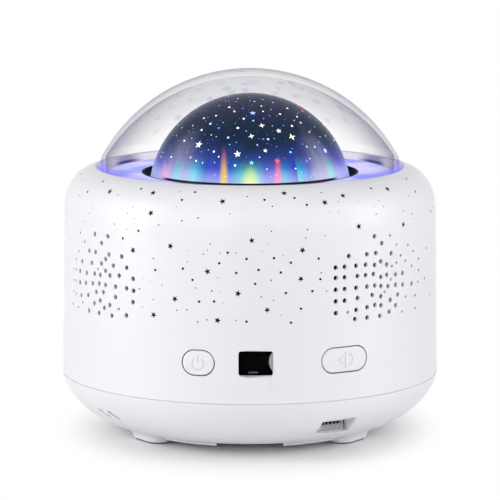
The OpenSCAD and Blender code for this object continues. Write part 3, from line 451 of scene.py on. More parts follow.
@dataclass(frozen=True)
class StarFilm(Finish):
    """Dark film of the star dome, lit from the ring of lamps round its foot, with painted reflections of the
    studio lamps and painted shade along its foot in front.
    """

    foot: float = 103.8
    crown: float = 135.0
    # Painted shade: the foot goes dark below these heights in millimetres, where its turn from the front is
    # under front_half in radians.
    dark_foot: Point = (103.85, 104.15)
    front_half: Point = (0.95, 1.12)
    # Colours of the light by turn, from the back at 0 through the front at 0.5. The pale lilac and grey bands
    # near 0.17 to 0.27 and 0.73 to 0.79 are painted reflections of the studio lamps.
    bands: tuple[tuple[float, Colour], ...] = (
        (0.0, srgb(70, 80, 190)), (0.10, srgb(92, 100, 214)), (0.17, srgb(150, 140, 222)),
        (0.185, srgb(206, 160, 226)), (0.205, srgb(160, 160, 226)), (0.237, srgb(110, 226, 244)),
        (0.264, srgb(170, 172, 228)), (0.308, srgb(90, 224, 246)), (0.334, srgb(20, 160, 240)),
        (0.352, srgb(20, 90, 200)), (0.36, srgb(84, 86, 240)), (0.402, srgb(70, 96, 240)),
        (0.432, srgb(20, 120, 226)), (0.455, srgb(30, 176, 236)), (0.481, srgb(96, 222, 200)),
        (0.502, srgb(180, 240, 150)), (0.522, srgb(120, 214, 236)), (0.552, srgb(116, 130, 244)),
        (0.578, srgb(150, 120, 240)), (0.613, srgb(60, 190, 240)), (0.645, srgb(66, 80, 240)),
        (0.657, srgb(30, 50, 190)), (0.662, srgb(10, 226, 230)), (0.685, srgb(30, 170, 240)),
        (0.707, srgb(110, 112, 236)), (0.73, srgb(176, 176, 214)), (0.785, srgb(190, 188, 224)),
        (0.807, srgb(130, 240, 236)), (0.84, srgb(160, 150, 240)), (0.9, srgb(110, 104, 236)),
        (1.0, srgb(70, 80, 190)),
    )
    # The same higher up, with painted reflections of the studio lamps near 0.16 to 0.25 and 0.71 to 0.79.
    high_bands: tuple[tuple[float, Colour], ...] = (
        (0.0, srgb(70, 80, 170)), (0.11, srgb(80, 88, 180)), (0.16, srgb(120, 124, 190)),
        (0.20, srgb(158, 158, 202)), (0.25, srgb(160, 160, 206)), (0.30, srgb(90, 100, 196)),
        (0.36, srgb(58, 84, 200)), (0.5, srgb(52, 92, 190)), (0.66, srgb(60, 82, 204)),
        (0.71, srgb(110, 112, 196)), (0.75, srgb(164, 164, 206)), (0.79, srgb(156, 156, 204)),
        (0.85, srgb(84, 90, 190)), (1.0, srgb(70, 80, 170)),
    )
    reach: tuple[tuple[float, float], ...] = (
        (0.0, 0.5), (0.12, 0.54), (0.18, 0.66), (0.22, 0.72), (0.27, 0.68), (0.33, 0.58), (0.42, 0.56),
        (0.5, 0.52), (0.6, 0.54), (0.68, 0.58), (0.74, 0.70), (0.79, 0.70), (0.86, 0.56), (1.0, 0.5),
    )
    flames: tuple[Flame, ...] = (
        Flame(-10.1, 2.0, 0.49, srgb(255, 222, 96), srgb(214, 76, 20)),
        Flame(0.3, 4.6, 0.25, srgb(250, 255, 190), srgb(120, 226, 140)),
        Flame(10.8, 1.9, 0.36, srgb(255, 176, 216), srgb(240, 40, 64)),
        Flame(-33.4, 1.5, 0.26, srgb(244, 180, 226), srgb(190, 120, 210)),
    )

    def surface(self, recipe: Recipe) -> Wire:
        """Bands of light and painted reflections by azimuth that fade upwards, with flames over them and
        painted shade along the foot in front.
        """
        x, y, z = recipe.axes()
        turn = x.maths("ARCTAN2", y * -1.0)
        height = (z - self.foot * MM) / ((self.crown - self.foot) * MM)
        around = (turn / pi + 0.5).maths("FRACT")
        bands = recipe.colours(around, self.bands)
        tall = recipe.colours(around, [(t, (v, v, v)) for t, v in self.reach])
        reach = recipe.node("ShaderNodeSeparateColor", {"Color": tall}).of("Red")
        wisps = recipe.noise(260.0, 2.0, (1.0, 1.0, 0.04))
        fall = 1.0 - height / (reach * (0.85 + wisps * 0.3))
        glow = fall.ramp(0.0, 1.0) * (0.78 + wisps * 0.34)
        cloud = recipe.noise(55.0, 3.0)
        night = recipe.mix(cloud, srgb(12, 26, 40), srgb(26, 40, 60))
        upper = recipe.colours(around, self.high_bands)
        tint = recipe.mix(height.ramp(0.06, 0.34), bands, upper)
        lit = recipe.mix(glow.maths("MINIMUM", 1.0), night, tint)
        lit = recipe.mix(height.ramp(0.0, 0.2, (0.4, 0.0)), lit, srgb(226, 236, 255))
        for flame in self.flames:
            lit = flame.over(recipe, lit, height)
        # Painted shade along the film's foot, in front only.
        sides = abs(turn).ramp(*self.front_half)
        lit = recipe.mix((z / MM).ramp(*self.dark_foot).maths("MAXIMUM", sides), srgb(14, 14, 22), lit)
        return self.shell(recipe, {
            "Base Color": self.colour + (1.0,),
            "Roughness": self.rough + cloud * 0.05,
            "Specular IOR Level": 0.03,
            "Sheen Weight": 0.04,
            "Sheen Tint": (*srgb(150, 150, 255), 1.0),
            "Sheen Roughness": 0.35,
            "Emission Color": lit,
            "Emission Strength": 1.0,
        })


@dataclass(frozen=True)
class Tinted(Finish):
    """Small lit marks that each carry their own colour in the mesh's "tint"."""

    strength: float = 1.2

    def surface(self, recipe: Recipe) -> Wire:
        """Light in the mark's own colour over the same colour of film."""
        tint = recipe.carried("tint")
        sparkle = recipe.noise(900.0, 1.0)
        values = {"Base Color": tint, "Emission Color": tint, "Emission Strength": self.strength}
        return self.shell(recipe, {**values, "Roughness": self.rough + sparkle * 0.1})


@dataclass(frozen=True)
class LitDiffuser(Finish):
    """Milky ring lit from below, with soft patches of coloured light round it."""

    strength: float = 1.0
    outer_edge: Point = (0.0555, 0.0572)
    front_edge: Point = (0.0448, 0.0456)
    patches: tuple[tuple[float, Colour], ...] = (
        (0.0, srgb(60, 84, 204)), (0.38, srgb(92, 110, 216)), (0.5, srgb(158, 158, 218)),
        (0.62, srgb(180, 174, 218)), (1.0, srgb(206, 166, 208)),
    )

    def surface(self, recipe: Recipe) -> Wire:
        """Patches of blue, lilac and pink, and the unlit edge in front of the star dome."""
        x, y, _ = recipe.axes()
        patches = recipe.noise(52.0, 1.0)
        radius = length(x, y)
        light = recipe.colours(patches, self.patches)
        light = recipe.mix(radius.ramp(*self.outer_edge), light, srgb(40, 48, 124))
        ahead = (abs(x) / (y * -1.0)).ramp(0.75, 1.1, (1.0, 0.0)) * (y < 0.0)
        shade = radius.ramp(*self.front_edge, (1.0, 0.0)) * ahead
        return self.shell(recipe, {
            "Base Color": recipe.mix(shade, self.colour, (0.012, 0.012, 0.016)),
            "Roughness": self.rough + patches * 0.1,
            "Emission Color": recipe.mix(shade, light, (0.004, 0.004, 0.008)),
            "Emission Strength": self.strength,
            "Specular IOR Level": 0.2,
        })


@dataclass(frozen=True)
class LipLiner(Finish):
    """The liner inside the lip, washed by the light of the ring below it.

    Angles are in degrees from the back, heights in metres.
    """

    strength: float = 0.92
    side_start: Point = (46.0, 57.0)
    side_end: Point = (60.0, 68.0)
    front: Point = (70.0, 95.0)
    foot: Point = (0.1040, 0.1044)
    at_back: Colour = srgb(232, 226, 240)
    at_front: Colour = srgb(140, 146, 236)
    at_side: Colour = srgb(142, 138, 186)
    at_foot: Colour = srgb(52, 58, 120)

    def surface(self, recipe: Recipe) -> Wire:
        """Pale lilac at the back, violet at the sides and blue in front, navy along its foot at the sides."""
        x, y, z = recipe.axes()
        turn = abs(x).maths("ARCTAN2", y) * (180 / pi)
        side = turn.ramp(*self.side_start) * turn.ramp(*self.side_end, (1.0, 0.0))
        patches = recipe.noise(60.0, 1.0)
        light = recipe.mix(turn.ramp(*self.front), self.at_back, self.at_front)
        light = recipe.mix(side * (0.6 + patches * 0.8), light, self.at_side)
        light = recipe.mix(side * z.ramp(*self.foot, (1.0, 0.0)), light, self.at_foot)
        return self.shell(recipe, {
            "Emission Color": light,
            "Emission Strength": self.strength,
            "Roughness": self.rough + patches * 0.05,
            "Specular IOR Level": 0.1,
        })


WHITE = Moulded("shell_satin_white", "white_shell", (0.795, 0.795, 0.825), 0.40, relief=0.03, gloss=0.6)
BUTTON = Cap("button_satin_white", "button_white", (0.80, 0.80, 0.825), 0.36, relief=0.03, gloss=0.6)
KNOB = Moulded("knob_satin_white", "button_white", (0.62, 0.62, 0.64), 0.4, relief=0.03)
INNER = Moulded("moulding_white", "white_shell", (0.74, 0.74, 0.75), 0.45)
MARK_GREY = Moulded("mark_grey", "white_shell", (0.012, 0.012, 0.014), 0.7, relief=0.02, gloss=0.1)
SIGN_GREY = Moulded("sign_grey", "button_white", (0.56, 0.56, 0.58), 0.5, relief=0.02)
CLEAR = ClearWall("dome_clear", "clear_plastic", srgb(128, 124, 150), 0.12)
LENS = ClearWall("lens_clear", "clear_plastic", srgb(200, 205, 215), 0.08, 0.25, 0.6, 2.0, False)
LINER = LipLiner("lip_liner_lit", "silicone", srgb(70, 68, 84), 0.5)
SMOKE = Moulded("light_bar_smoke", "grey_plastic", (0.16, 0.16, 0.17), 0.4)
FILM = StarFilm("star_film_navy", "star_film", srgb(14, 20, 38), 0.22)
STARS = Tinted("star_marks_lit", "star_film", (0.9, 0.9, 1.0), 0.4)
DIFFUSER = LitDiffuser("halo_milky", "lit_diffuser", srgb(106, 106, 142), 0.35)
BLACK = Moulded("moulding_black", "black_plastic", (0.002, 0.002, 0.003), 0.55, relief=0.05, gloss=0.02)
GREY = Moulded("moulding_grey", "grey_plastic", (0.10, 0.10, 0.11), 0.5, relief=0.1)
PALE = Moulded("insulator_pale", "grey_plastic", (0.42, 0.42, 0.43), 0.45, relief=0.06)
ACETAL = Moulded("acetal_cream", "acetal", (0.66, 0.64, 0.58), 0.4)
PAD = Foam("pad_grey", "soft_pad", (0.10, 0.10, 0.105), 0.8, 1500.0, 0.3)
SILICONE = Foam("silicone_grey", "silicone", (0.42, 0.42, 0.43), 0.55, 2200.0, 0.15)
FOAM = Foam("foam_black", "foam", (0.018, 0.018, 0.019), 0.8)
CLOTH = Woven("speaker_cloth", "cloth", (0.014, 0.014, 0.016), 0.85)
BOARD = SolderMask("board_lacquer", "board_green", (0.012, 0.10, 0.045), 0.35)
CHIP = Moulded("chip_black", "chip_black", (0.02, 0.02, 0.022), 0.45, relief=0.12)
LED = Moulded("led_cream", "led_cream", (0.78, 0.74, 0.56), 0.3)
STEEL = Metal("screw_zinc", "screw_steel", (0.60, 0.61, 0.62), 0.32)
BRIGHT = Metal("contact_nickel", "bright_metal", (0.76, 0.76, 0.77), 0.22, (0.05, 1.0, 1.0))
MOTOR = Metal("motor_steel", "motor_steel", (0.55, 0.55, 0.56), 0.3)
BRASS = Metal("pinion_brass", "brass", (0.66, 0.46, 0.16), 0.3)
WRAP = Moulded("cell_wrap", "cell_wrap", (0.02, 0.09, 0.36), 0.25, coat=0.4)

FINISHES = (INNER, BUTTON, PAD, STEEL, DIFFUSER, BLACK, BOARD, LED, LENS, ACETAL, BRIGHT, MOTOR, FOAM,
            CLOTH, CHIP, WRAP, FILM, GREY, BRASS, SILICONE)
SLOT_FINISH = {finish.slot: finish for finish in FINISHES}


# ---- geometry trees


class Pattern:
    """A geometry tree with named inputs, which ends in Realize Instances and Set Material."""

    TYPES = {int: "NodeSocketInt", float: "NodeSocketFloat", bpy.types.Material: "NodeSocketMaterial"}

    def __init__(self, name: str, inputs: dict[str, type]) -> None:
        """Makes the tree's interface.

        Args:
            name: the tree's name.
            inputs: the type of each input, by its name.
        """
        self.tree = bpy.data.node_groups.new(name, "GeometryNodeTree")
        face = self.tree.interface
        face.new_socket("Geometry", in_out="INPUT", socket_type="NodeSocketGeometry")
        self.ids = {}
        for label, kind in {**inputs, "Finish": bpy.types.Material}.items():
            made = face.new_socket(label, in_out="INPUT", socket_type=self.TYPES[kind])
            self.ids[label] = made.identifier
        face.new_socket("Geometry", in_out="OUTPUT", socket_type="NodeSocketGeometry")
        self.recipe = Recipe(self.tree)
        self.given = self.recipe.node("NodeGroupInput")

    def stored(self, name: str, kind: str = "FLOAT") -> Wire:
        """An attribute of the points that the tree starts from."""
        return self.recipe.node("GeometryNodeInputNamedAttribute", {"Name": name}, data_type=kind)

    def close(self, geometry: Wire) -> "Pattern":
        """Ends the tree on a geometry."""
        real = self.recipe.node("GeometryNodeRealizeInstances", {"Geometry": geometry})
        values = {"Geometry": real, "Material": self.given.of("Finish")}
        self.recipe.node("NodeGroupOutput", {"Geometry": self.recipe.node("GeometryNodeSetMaterial", values)})
        return self

    def run(self, name: str, mesh: Mesh, values: dict, finish: Finish) -> Piece:
        """A new object with the pattern's result as its plain mesh.

        Args:
            name: the object's name.
            mesh: what the tree starts from.
            values: the inputs, by name.
            finish: the finish that the tree sets.

        Returns:
            The object.
        """
        obj = shown(name, mesh)
        modifier = obj.modifiers.new("pattern", "NODES")
        modifier.node_group = self.tree
        for label, value in {**values, "Finish": finish.material()}.items():
            modifier[self.ids[label]] = value
        return painted(settled(obj), finish.material())


def shown(name: str, data: bpy.types.ID) -> Piece:
    """A new object in the scene with this mesh, lamp or camera."""
    obj = bpy.data.objects.new(name, data)
    bpy.context.scene.collection.objects.link(obj)
    return obj


def settled(obj: Piece) -> Piece:
    """The object with its modifiers worked into a plain mesh."""
    graph = bpy.context.evaluated_depsgraph_get()
    worked = obj.evaluated_get(graph)
    mesh = bpy.data.meshes.new_from_object(worked, preserve_all_data_layers=True, depsgraph=graph)
    obj.modifiers.clear()
    obj.data = mesh
    mesh.name = obj.name
    return obj


def painted(obj: Piece, material: bpy.types.Material) -> Piece:
    """The object with one material slot for all its faces."""
    obj.data.materials.clear()
    obj.data.materials.append(material)
    obj.data.polygons.foreach_set("material_index", [0] * len(obj.data.polygons))
    return obj


def turning_pattern() -> Pattern:
    """A tree that turns an outline of points round the Z axis."""
    pattern = Pattern("turned_piece", {"Outline points": int, "Steps round": int})
    recipe, given = pattern.recipe, pattern.given
    steps = given.of("Steps round")
    values = {"Vertices X": given.of("Outline points"), "Vertices Y": steps + 1.0}
    grid = recipe.node("GeometryNodeMeshGrid", values)
    index = recipe.node("GeometryNodeInputIndex")
    column = ((index + 0.5) / (steps + 1.0)).maths("FLOOR")
    angle = (index - column * (steps + 1.0)) / steps * (2 * pi)
    place = recipe.node("GeometryNodeInputPosition")
    outline = recipe.node("GeometryNodeSampleIndex", {"Geometry": given, "Value": place, "Index": column},
                          data_type="FLOAT_VECTOR", domain="POINT")
    split = recipe.node("ShaderNodeSeparateXYZ", {"Vector": outline})
    radius = split.of("X")
    turned = recipe.node("ShaderNodeCombineXYZ", {
        "X": radius * angle.maths("SINE"), "Y": radius * angle.maths("COSINE") * -1.0, "Z": split.of("Z")})
    moved = recipe.node("GeometryNodeSetPosition", {"Geometry": grid, "Position": turned})
    merged = recipe.node("GeometryNodeMergeByDistance", {"Geometry": moved, "Distance": 1e-6})
    return pattern.close(merged)


def marks_pattern() -> Pattern:
    """A tree that lays small raised stars and dots on points that carry their turn, size and kind."""
    names = ("Thickness", "Five-point waist", "Four-point waist")
    pattern = Pattern("laid_marks", dict.fromkeys(names, float))
    recipe, given = pattern.recipe, pattern.given

    def prism(corners: int, waist: Wire | float) -> Wire:
        """A closed star of unit reach, with every second corner drawn in to the waist."""
        flat = recipe.node("GeometryNodeMeshCircle", {"Vertices": corners, "Radius": 1.0}, fill_type="NGON")
        odd = recipe.node("GeometryNodeInputIndex").maths("MODULO", 2.0)
        place = recipe.node("GeometryNodeInputPosition")
        pulled = recipe.node("ShaderNodeVectorMath", {"Vector": place, "Scale": 1.0 - odd * (1.0 - waist)},
                             operation="SCALE")
        quarter = recipe.node("ShaderNodeVectorRotate", {"Vector": pulled, "Angle": pi / 2},
                              rotation_type="Z_AXIS")
        star = recipe.node("GeometryNodeSetPosition", {"Geometry": flat, "Position": quarter})
        lift = recipe.node("ShaderNodeCombineXYZ", {"Z": 1.0})
        values = {"Mesh": star, "Offset": lift, "Offset Scale": 1.0, "Individual": False}
        top = recipe.node("GeometryNodeExtrudeMesh", values, mode="FACES")
        under = recipe.node("GeometryNodeFlipFaces", {"Mesh": star})
        both = recipe.node("GeometryNodeJoinGeometry", {"Geometry": [top, under]})
        return recipe.node("GeometryNodeMergeByDistance", {"Geometry": both, "Distance": 1e-5})

    kinds = (prism(12, 1.0), prism(10, given.of("Five-point waist")), prism(8, given.of("Four-point waist")))
    size = pattern.stored("size")
    scale = recipe.node("ShaderNodeCombineXYZ", {"X": size, "Y": size, "Z": given.of("Thickness")})
    turn = recipe.node("FunctionNodeEulerToRotation", {"Euler": pattern.stored("turn", "FLOAT_VECTOR")})
    laid = []
    for number, shape in enumerate(kinds):
        chosen = abs(pattern.stored("kind") - float(number)) < 0.5
        laid.append(recipe.node("GeometryNodeInstanceOnPoints", {
            "Points": given, "Selection": chosen, "Instance": shape, "Rotation": turn, "Scale": scale}))
    return pattern.close(recipe.node("GeometryNodeJoinGeometry", {"Geometry": laid}))


def grille_pattern() -> Pattern:
    """A tree that sets rods, to be cut from a wall, on points that carry their azimuth and share of width."""
    pattern = Pattern("grille_rods", {"Rod length": float, "Hole radius": float, "Sides": int})
    recipe, given = pattern.recipe, pattern.given
    azimuth, wide = pattern.stored("azimuth"), pattern.stored("share")
    turn = recipe.node("ShaderNodeCombineXYZ", {"X": pi / 2, "Z": azimuth})
    facing = recipe.node("FunctionNodeEulerToRotation", {"Euler": turn})
    scale = recipe.node("ShaderNodeCombineXYZ", {"X": wide, "Y": wide, "Z": 1.0})
    rod = recipe.node("GeometryNodeMeshCylinder", {
        "Vertices": given.of("Sides"), "Radius": given.of("Hole radius"), "Depth": given.of("Rod length")})
    rods = recipe.node("GeometryNodeInstanceOnPoints", {
        "Points": given, "Instance": rod, "Rotation": facing, "Scale": scale})
    return pattern.close(rods)


# ---- mesh helpers


def polar(radius: float, azimuth: float, height: float = 0.0) -> Vector:
    """A point in metres from a radius, azimuth and height in millimetres and degrees."""
    angle = radians(azimuth)
    return Vector((radius * sin(angle), -radius * cos(angle), height)) * MM


def spin(angle: float, axis: str = "Z") -> Matrix:
    """The rotation by an angle in degrees round an axis."""
    return Matrix.Rotation(radians(angle), 4, axis)


def aimed(azimuth: float, rise: float) -> Vector:
    """The unit direction at an azimuth and an elevation in degrees."""
    up = radians(rise)
    return polar(1000 * cos(up), azimuth, 1000 * sin(up)).normalized()


def outward(azimuth: float, height: float) -> Matrix:
    """The frame on the wall: x to the right, y up and z out of the wall, in metres."""
    return Matrix.Translation((0, 0, height * MM)) @ spin(azimuth) @ spin(90, "X")


def quarter(radius: float, steps: int) -> list[Point]:
    """Points of a quarter circle, from its right end up to its top."""
    turns = [pi / 2 * i / steps for i in range(steps + 1)]
    return [(radius * cos(t), radius * sin(t)) for t in turns]


def mesh_of(name: str, points: Iterable[Sequence[float]], faces: Sequence[Sequence[int]] = (),
            unit: float = MM) -> Mesh:
    """A mesh from points in millimetres, or in another unit."""
    mesh = bpy.data.meshes.new(name)
    mesh.from_pydata([tuple(c * unit for c in p) for p in points], [], faces)
    return mesh


def store(mesh: Mesh, name: str, values: Sequence[float], kind: str = "FLOAT") -> None:
    """Writes an attribute of the mesh's points."""
    field = {"FLOAT": "value", "FLOAT_VECTOR": "vector", "FLOAT_COLOR": "color"}[kind]
    mesh.attributes.new(name, kind, "POINT").data.foreach_set(field, values)


def signed_volume(mesh: Mesh) -> float:
    """Six times the volume, negative where the faces point inwards."""
    mesh.calc_loop_triangles()
    corners = np.zeros(len(mesh.loop_triangles) * 3, np.int32)
    mesh.loop_triangles.foreach_get("vertices", corners)
    places = np.zeros(len(mesh.vertices) * 3)
    mesh.vertices.foreach_get("co", places)
    a, b, c = places.reshape(-1, 3)[corners.reshape(-1, 3)].transpose(1, 0, 2)
    return float(np.einsum("ij,ij->i", a, np.cross(b, c)).sum())


def finished(obj: Piece, body: str, sharp: float = 32.0) -> Piece:
    """Points the faces outwards, smooths all but the sharp edges and puts the piece on its body.

    Args:
        obj: the piece.
        body: the body that it moves with.
        sharp: the angle in degrees from which an edge stays sharp.

    Returns:
        The piece.
    """
    mesh = obj.data
    if signed_volume(mesh) < 0:
        mesh.flip_normals()
    mesh.shade_smooth()
    mesh.set_sharp_from_angle(angle=radians(sharp))
    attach(obj, body)
    log.info("%s: %d faces on %s", obj.name, len(mesh.polygons), body)
    return obj


def placed(obj: Piece, matrix: Matrix) -> Piece:
    """The piece with a transform worked into its mesh."""
    obj.data.transform(matrix)
    return obj


def joined(name: str, parts: Sequence[Piece]) -> Piece:
    """Several pieces as one mesh object, with the first one's finish."""
    points, faces, base = [], [], 0
    for part in parts:
        points += [v.co.copy() for v in part.data.vertices]
        faces += [[base + i for i in p.vertices] for p in part.data.polygons]
        base = len(points)
    obj = shown(name, mesh_of(name, points, faces, 1.0))
    obj.data.materials.append(parts[0].data.materials[0])
    for part in parts:
        bpy.data.objects.remove(part)
    return obj


class Workshop:
    """Makes turned, lofted and laid pieces with the trees, which are built once."""

    def __init__(self) -> None:
        """Builds the trees."""
        self.turning = turning_pattern()
        self.marks = marks_pattern()
        self.grille = grille_pattern()

    def turned(self, name: str, outline: Sequence[Point], finish: Finish, steps: int = 384) -> Piece:
        """A piece of revolution from a closed outline of (radius, height) points."""
        closed = list(outline) if outline[0] == outline[-1] or outline[0][0] == 0 else [*outline, outline[0]]
        mesh = mesh_of(name, [(r, 0.0, z) for r, z in closed])
        return self.turning.run(name, mesh, {"Outline points": len(closed), "Steps round": steps}, finish)

    def loft(self, name: str, loops: Sequence[Sequence[Sequence[float]]], finish: Finish,
             capped: bool = True) -> Piece:
        """A closed piece through loops of equal length.

        Args:
            name: the piece's name.
            loops: the loops, in order.
            finish: the piece's finish.
            capped: whether a fan of faces closes both ends. If not, the last loop repeats the first.

        Returns:
            The piece.
        """
        if not capped:
            loops = loops[:-1]
        count = len(loops[0])
        points = [p for loop in loops for p in loop]
        faces = []
        for i in range(len(loops) - capped):
            n = (i + 1) % len(loops)
            for j in range(count):
                k = (j + 1) % count
                faces.append((i * count + j, i * count + k, n * count + k, n * count + j))
        for row, order in ((0, -1), (len(loops) - 1, 1)) if capped else ():
            centre = [sum(p[a] for p in loops[row]) / count for a in range(3)]
            points.append(centre)
            for j in range(count):
                edge = (row * count + j, row * count + (j + 1) % count)[::order]
                faces.append((*edge, len(points) - 1))
        obj = shown(name, mesh_of(name, points, faces))
        obj.data.materials.append(finish.material())
        return obj

    def laid(self, name: str, marks: "Sequence[Mark]", thickness: float, finish: Finish,
             waist: float = 0.44) -> Piece:
        """Raised marks on a surface, each at its own point."""
        mesh = mesh_of(name, [m.place for m in marks], unit=1.0)
        store(mesh, "size", [m.size * MM for m in marks])
        store(mesh, "kind", [float(m.kind.value) for m in marks])
        store(mesh, "turn", [c for m in marks for c in m.turn()], "FLOAT_VECTOR")
        store(mesh, "tint", [c for m in marks for c in (*m.tint, 1.0)], "FLOAT_COLOR")
        values = {"Thickness": thickness * MM, "Five-point waist": waist, "Four-point waist": waist * 0.8}
        return self.marks.run(name, mesh, values, finish)


def cut(obj: Piece, tools: Sequence[Piece], how: str = "DIFFERENCE") -> Piece:
    """The piece with each tool's solid cut out of it, or joined to it."""
    for tool in tools:
        if signed_volume(tool.data) < 0:
            tool.data.flip_normals()
        modifier = obj.modifiers.new("cut", "BOOLEAN")
        modifier.operation = how
        modifier.solver = "MANIFOLD"
        modifier.object = tool
        settled(obj)
        bpy.data.objects.remove(tool)
    return painted(obj, obj.data.materials[0])


class Kind(Enum):
    """The shapes of a mark."""

    DOT = 0
    FIVE = 1
    FOUR = 2


@dataclass
class Mark:
    """One star or dot on a surface: its place and outward direction in metres, size in millimetres."""

    place: Vector
    aim: Vector
    size: float
    kind: Kind
    tint: Colour = (0.1, 0.1, 0.11)
    twist: float = 0.0

    def turn(self) -> tuple[float, float, float]:
        """The Euler angles that stand the mark on its surface."""
        side = Vector((0, 0, 1)).cross(self.aim)
        side = side.normalized() if side.length > 1e-4 else Vector((1, 0, 0))
        up = self.aim.cross(side)
        frame = Matrix((side, up, self.aim)).transposed() @ Matrix.Rotation(self.twist, 3, "Z")
        return tuple(frame.to_euler("XYZ"))


def stadium(width: float, height: float, count: int = 96) -> list[Point]:
    """Points round a stadium, anticlockwise from its right end."""
    points = []
    radius, half = height / 2, (width - height) / 2
    for i in range(count):
        angle = 2 * pi * (i + 0.5) / count
        across = radius * cos(angle)
        points.append((across + copysign(half, across), radius * sin(angle)))
    return points


def rounded(width: float, height: float, radius: float, count: int = 12) -> list[Point]:
    """Points round a rectangle with rounded corners, anticlockwise."""
    points = []
    for corner, (sx, sy) in enumerate(((1, 1), (-1, 1), (-1, -1), (1, -1))):
        for i in range(count + 1):
            angle = pi / 2 * (corner + i / count)
            points.append((sx * (width / 2 - radius) + radius * cos(angle),
                           sy * (height / 2 - radius) + radius * sin(angle)))
    return points


# ---- the drum


@dataclass(frozen=True)
class Control:
    """Where a control sits on the wall, its size and the room left round it."""

    azimuth: float
    width: float
    height: float
    gap: float = 0.42
    flare: float = 0.0
    level: float = 39.8


POWER = Control(-15.3, 12.3, 9.4)
SOUND = Control(29.0, 19.5, 9.4)
WINDOW = Control(1.7, 13.0, 9.6, 0.0, 0.5)


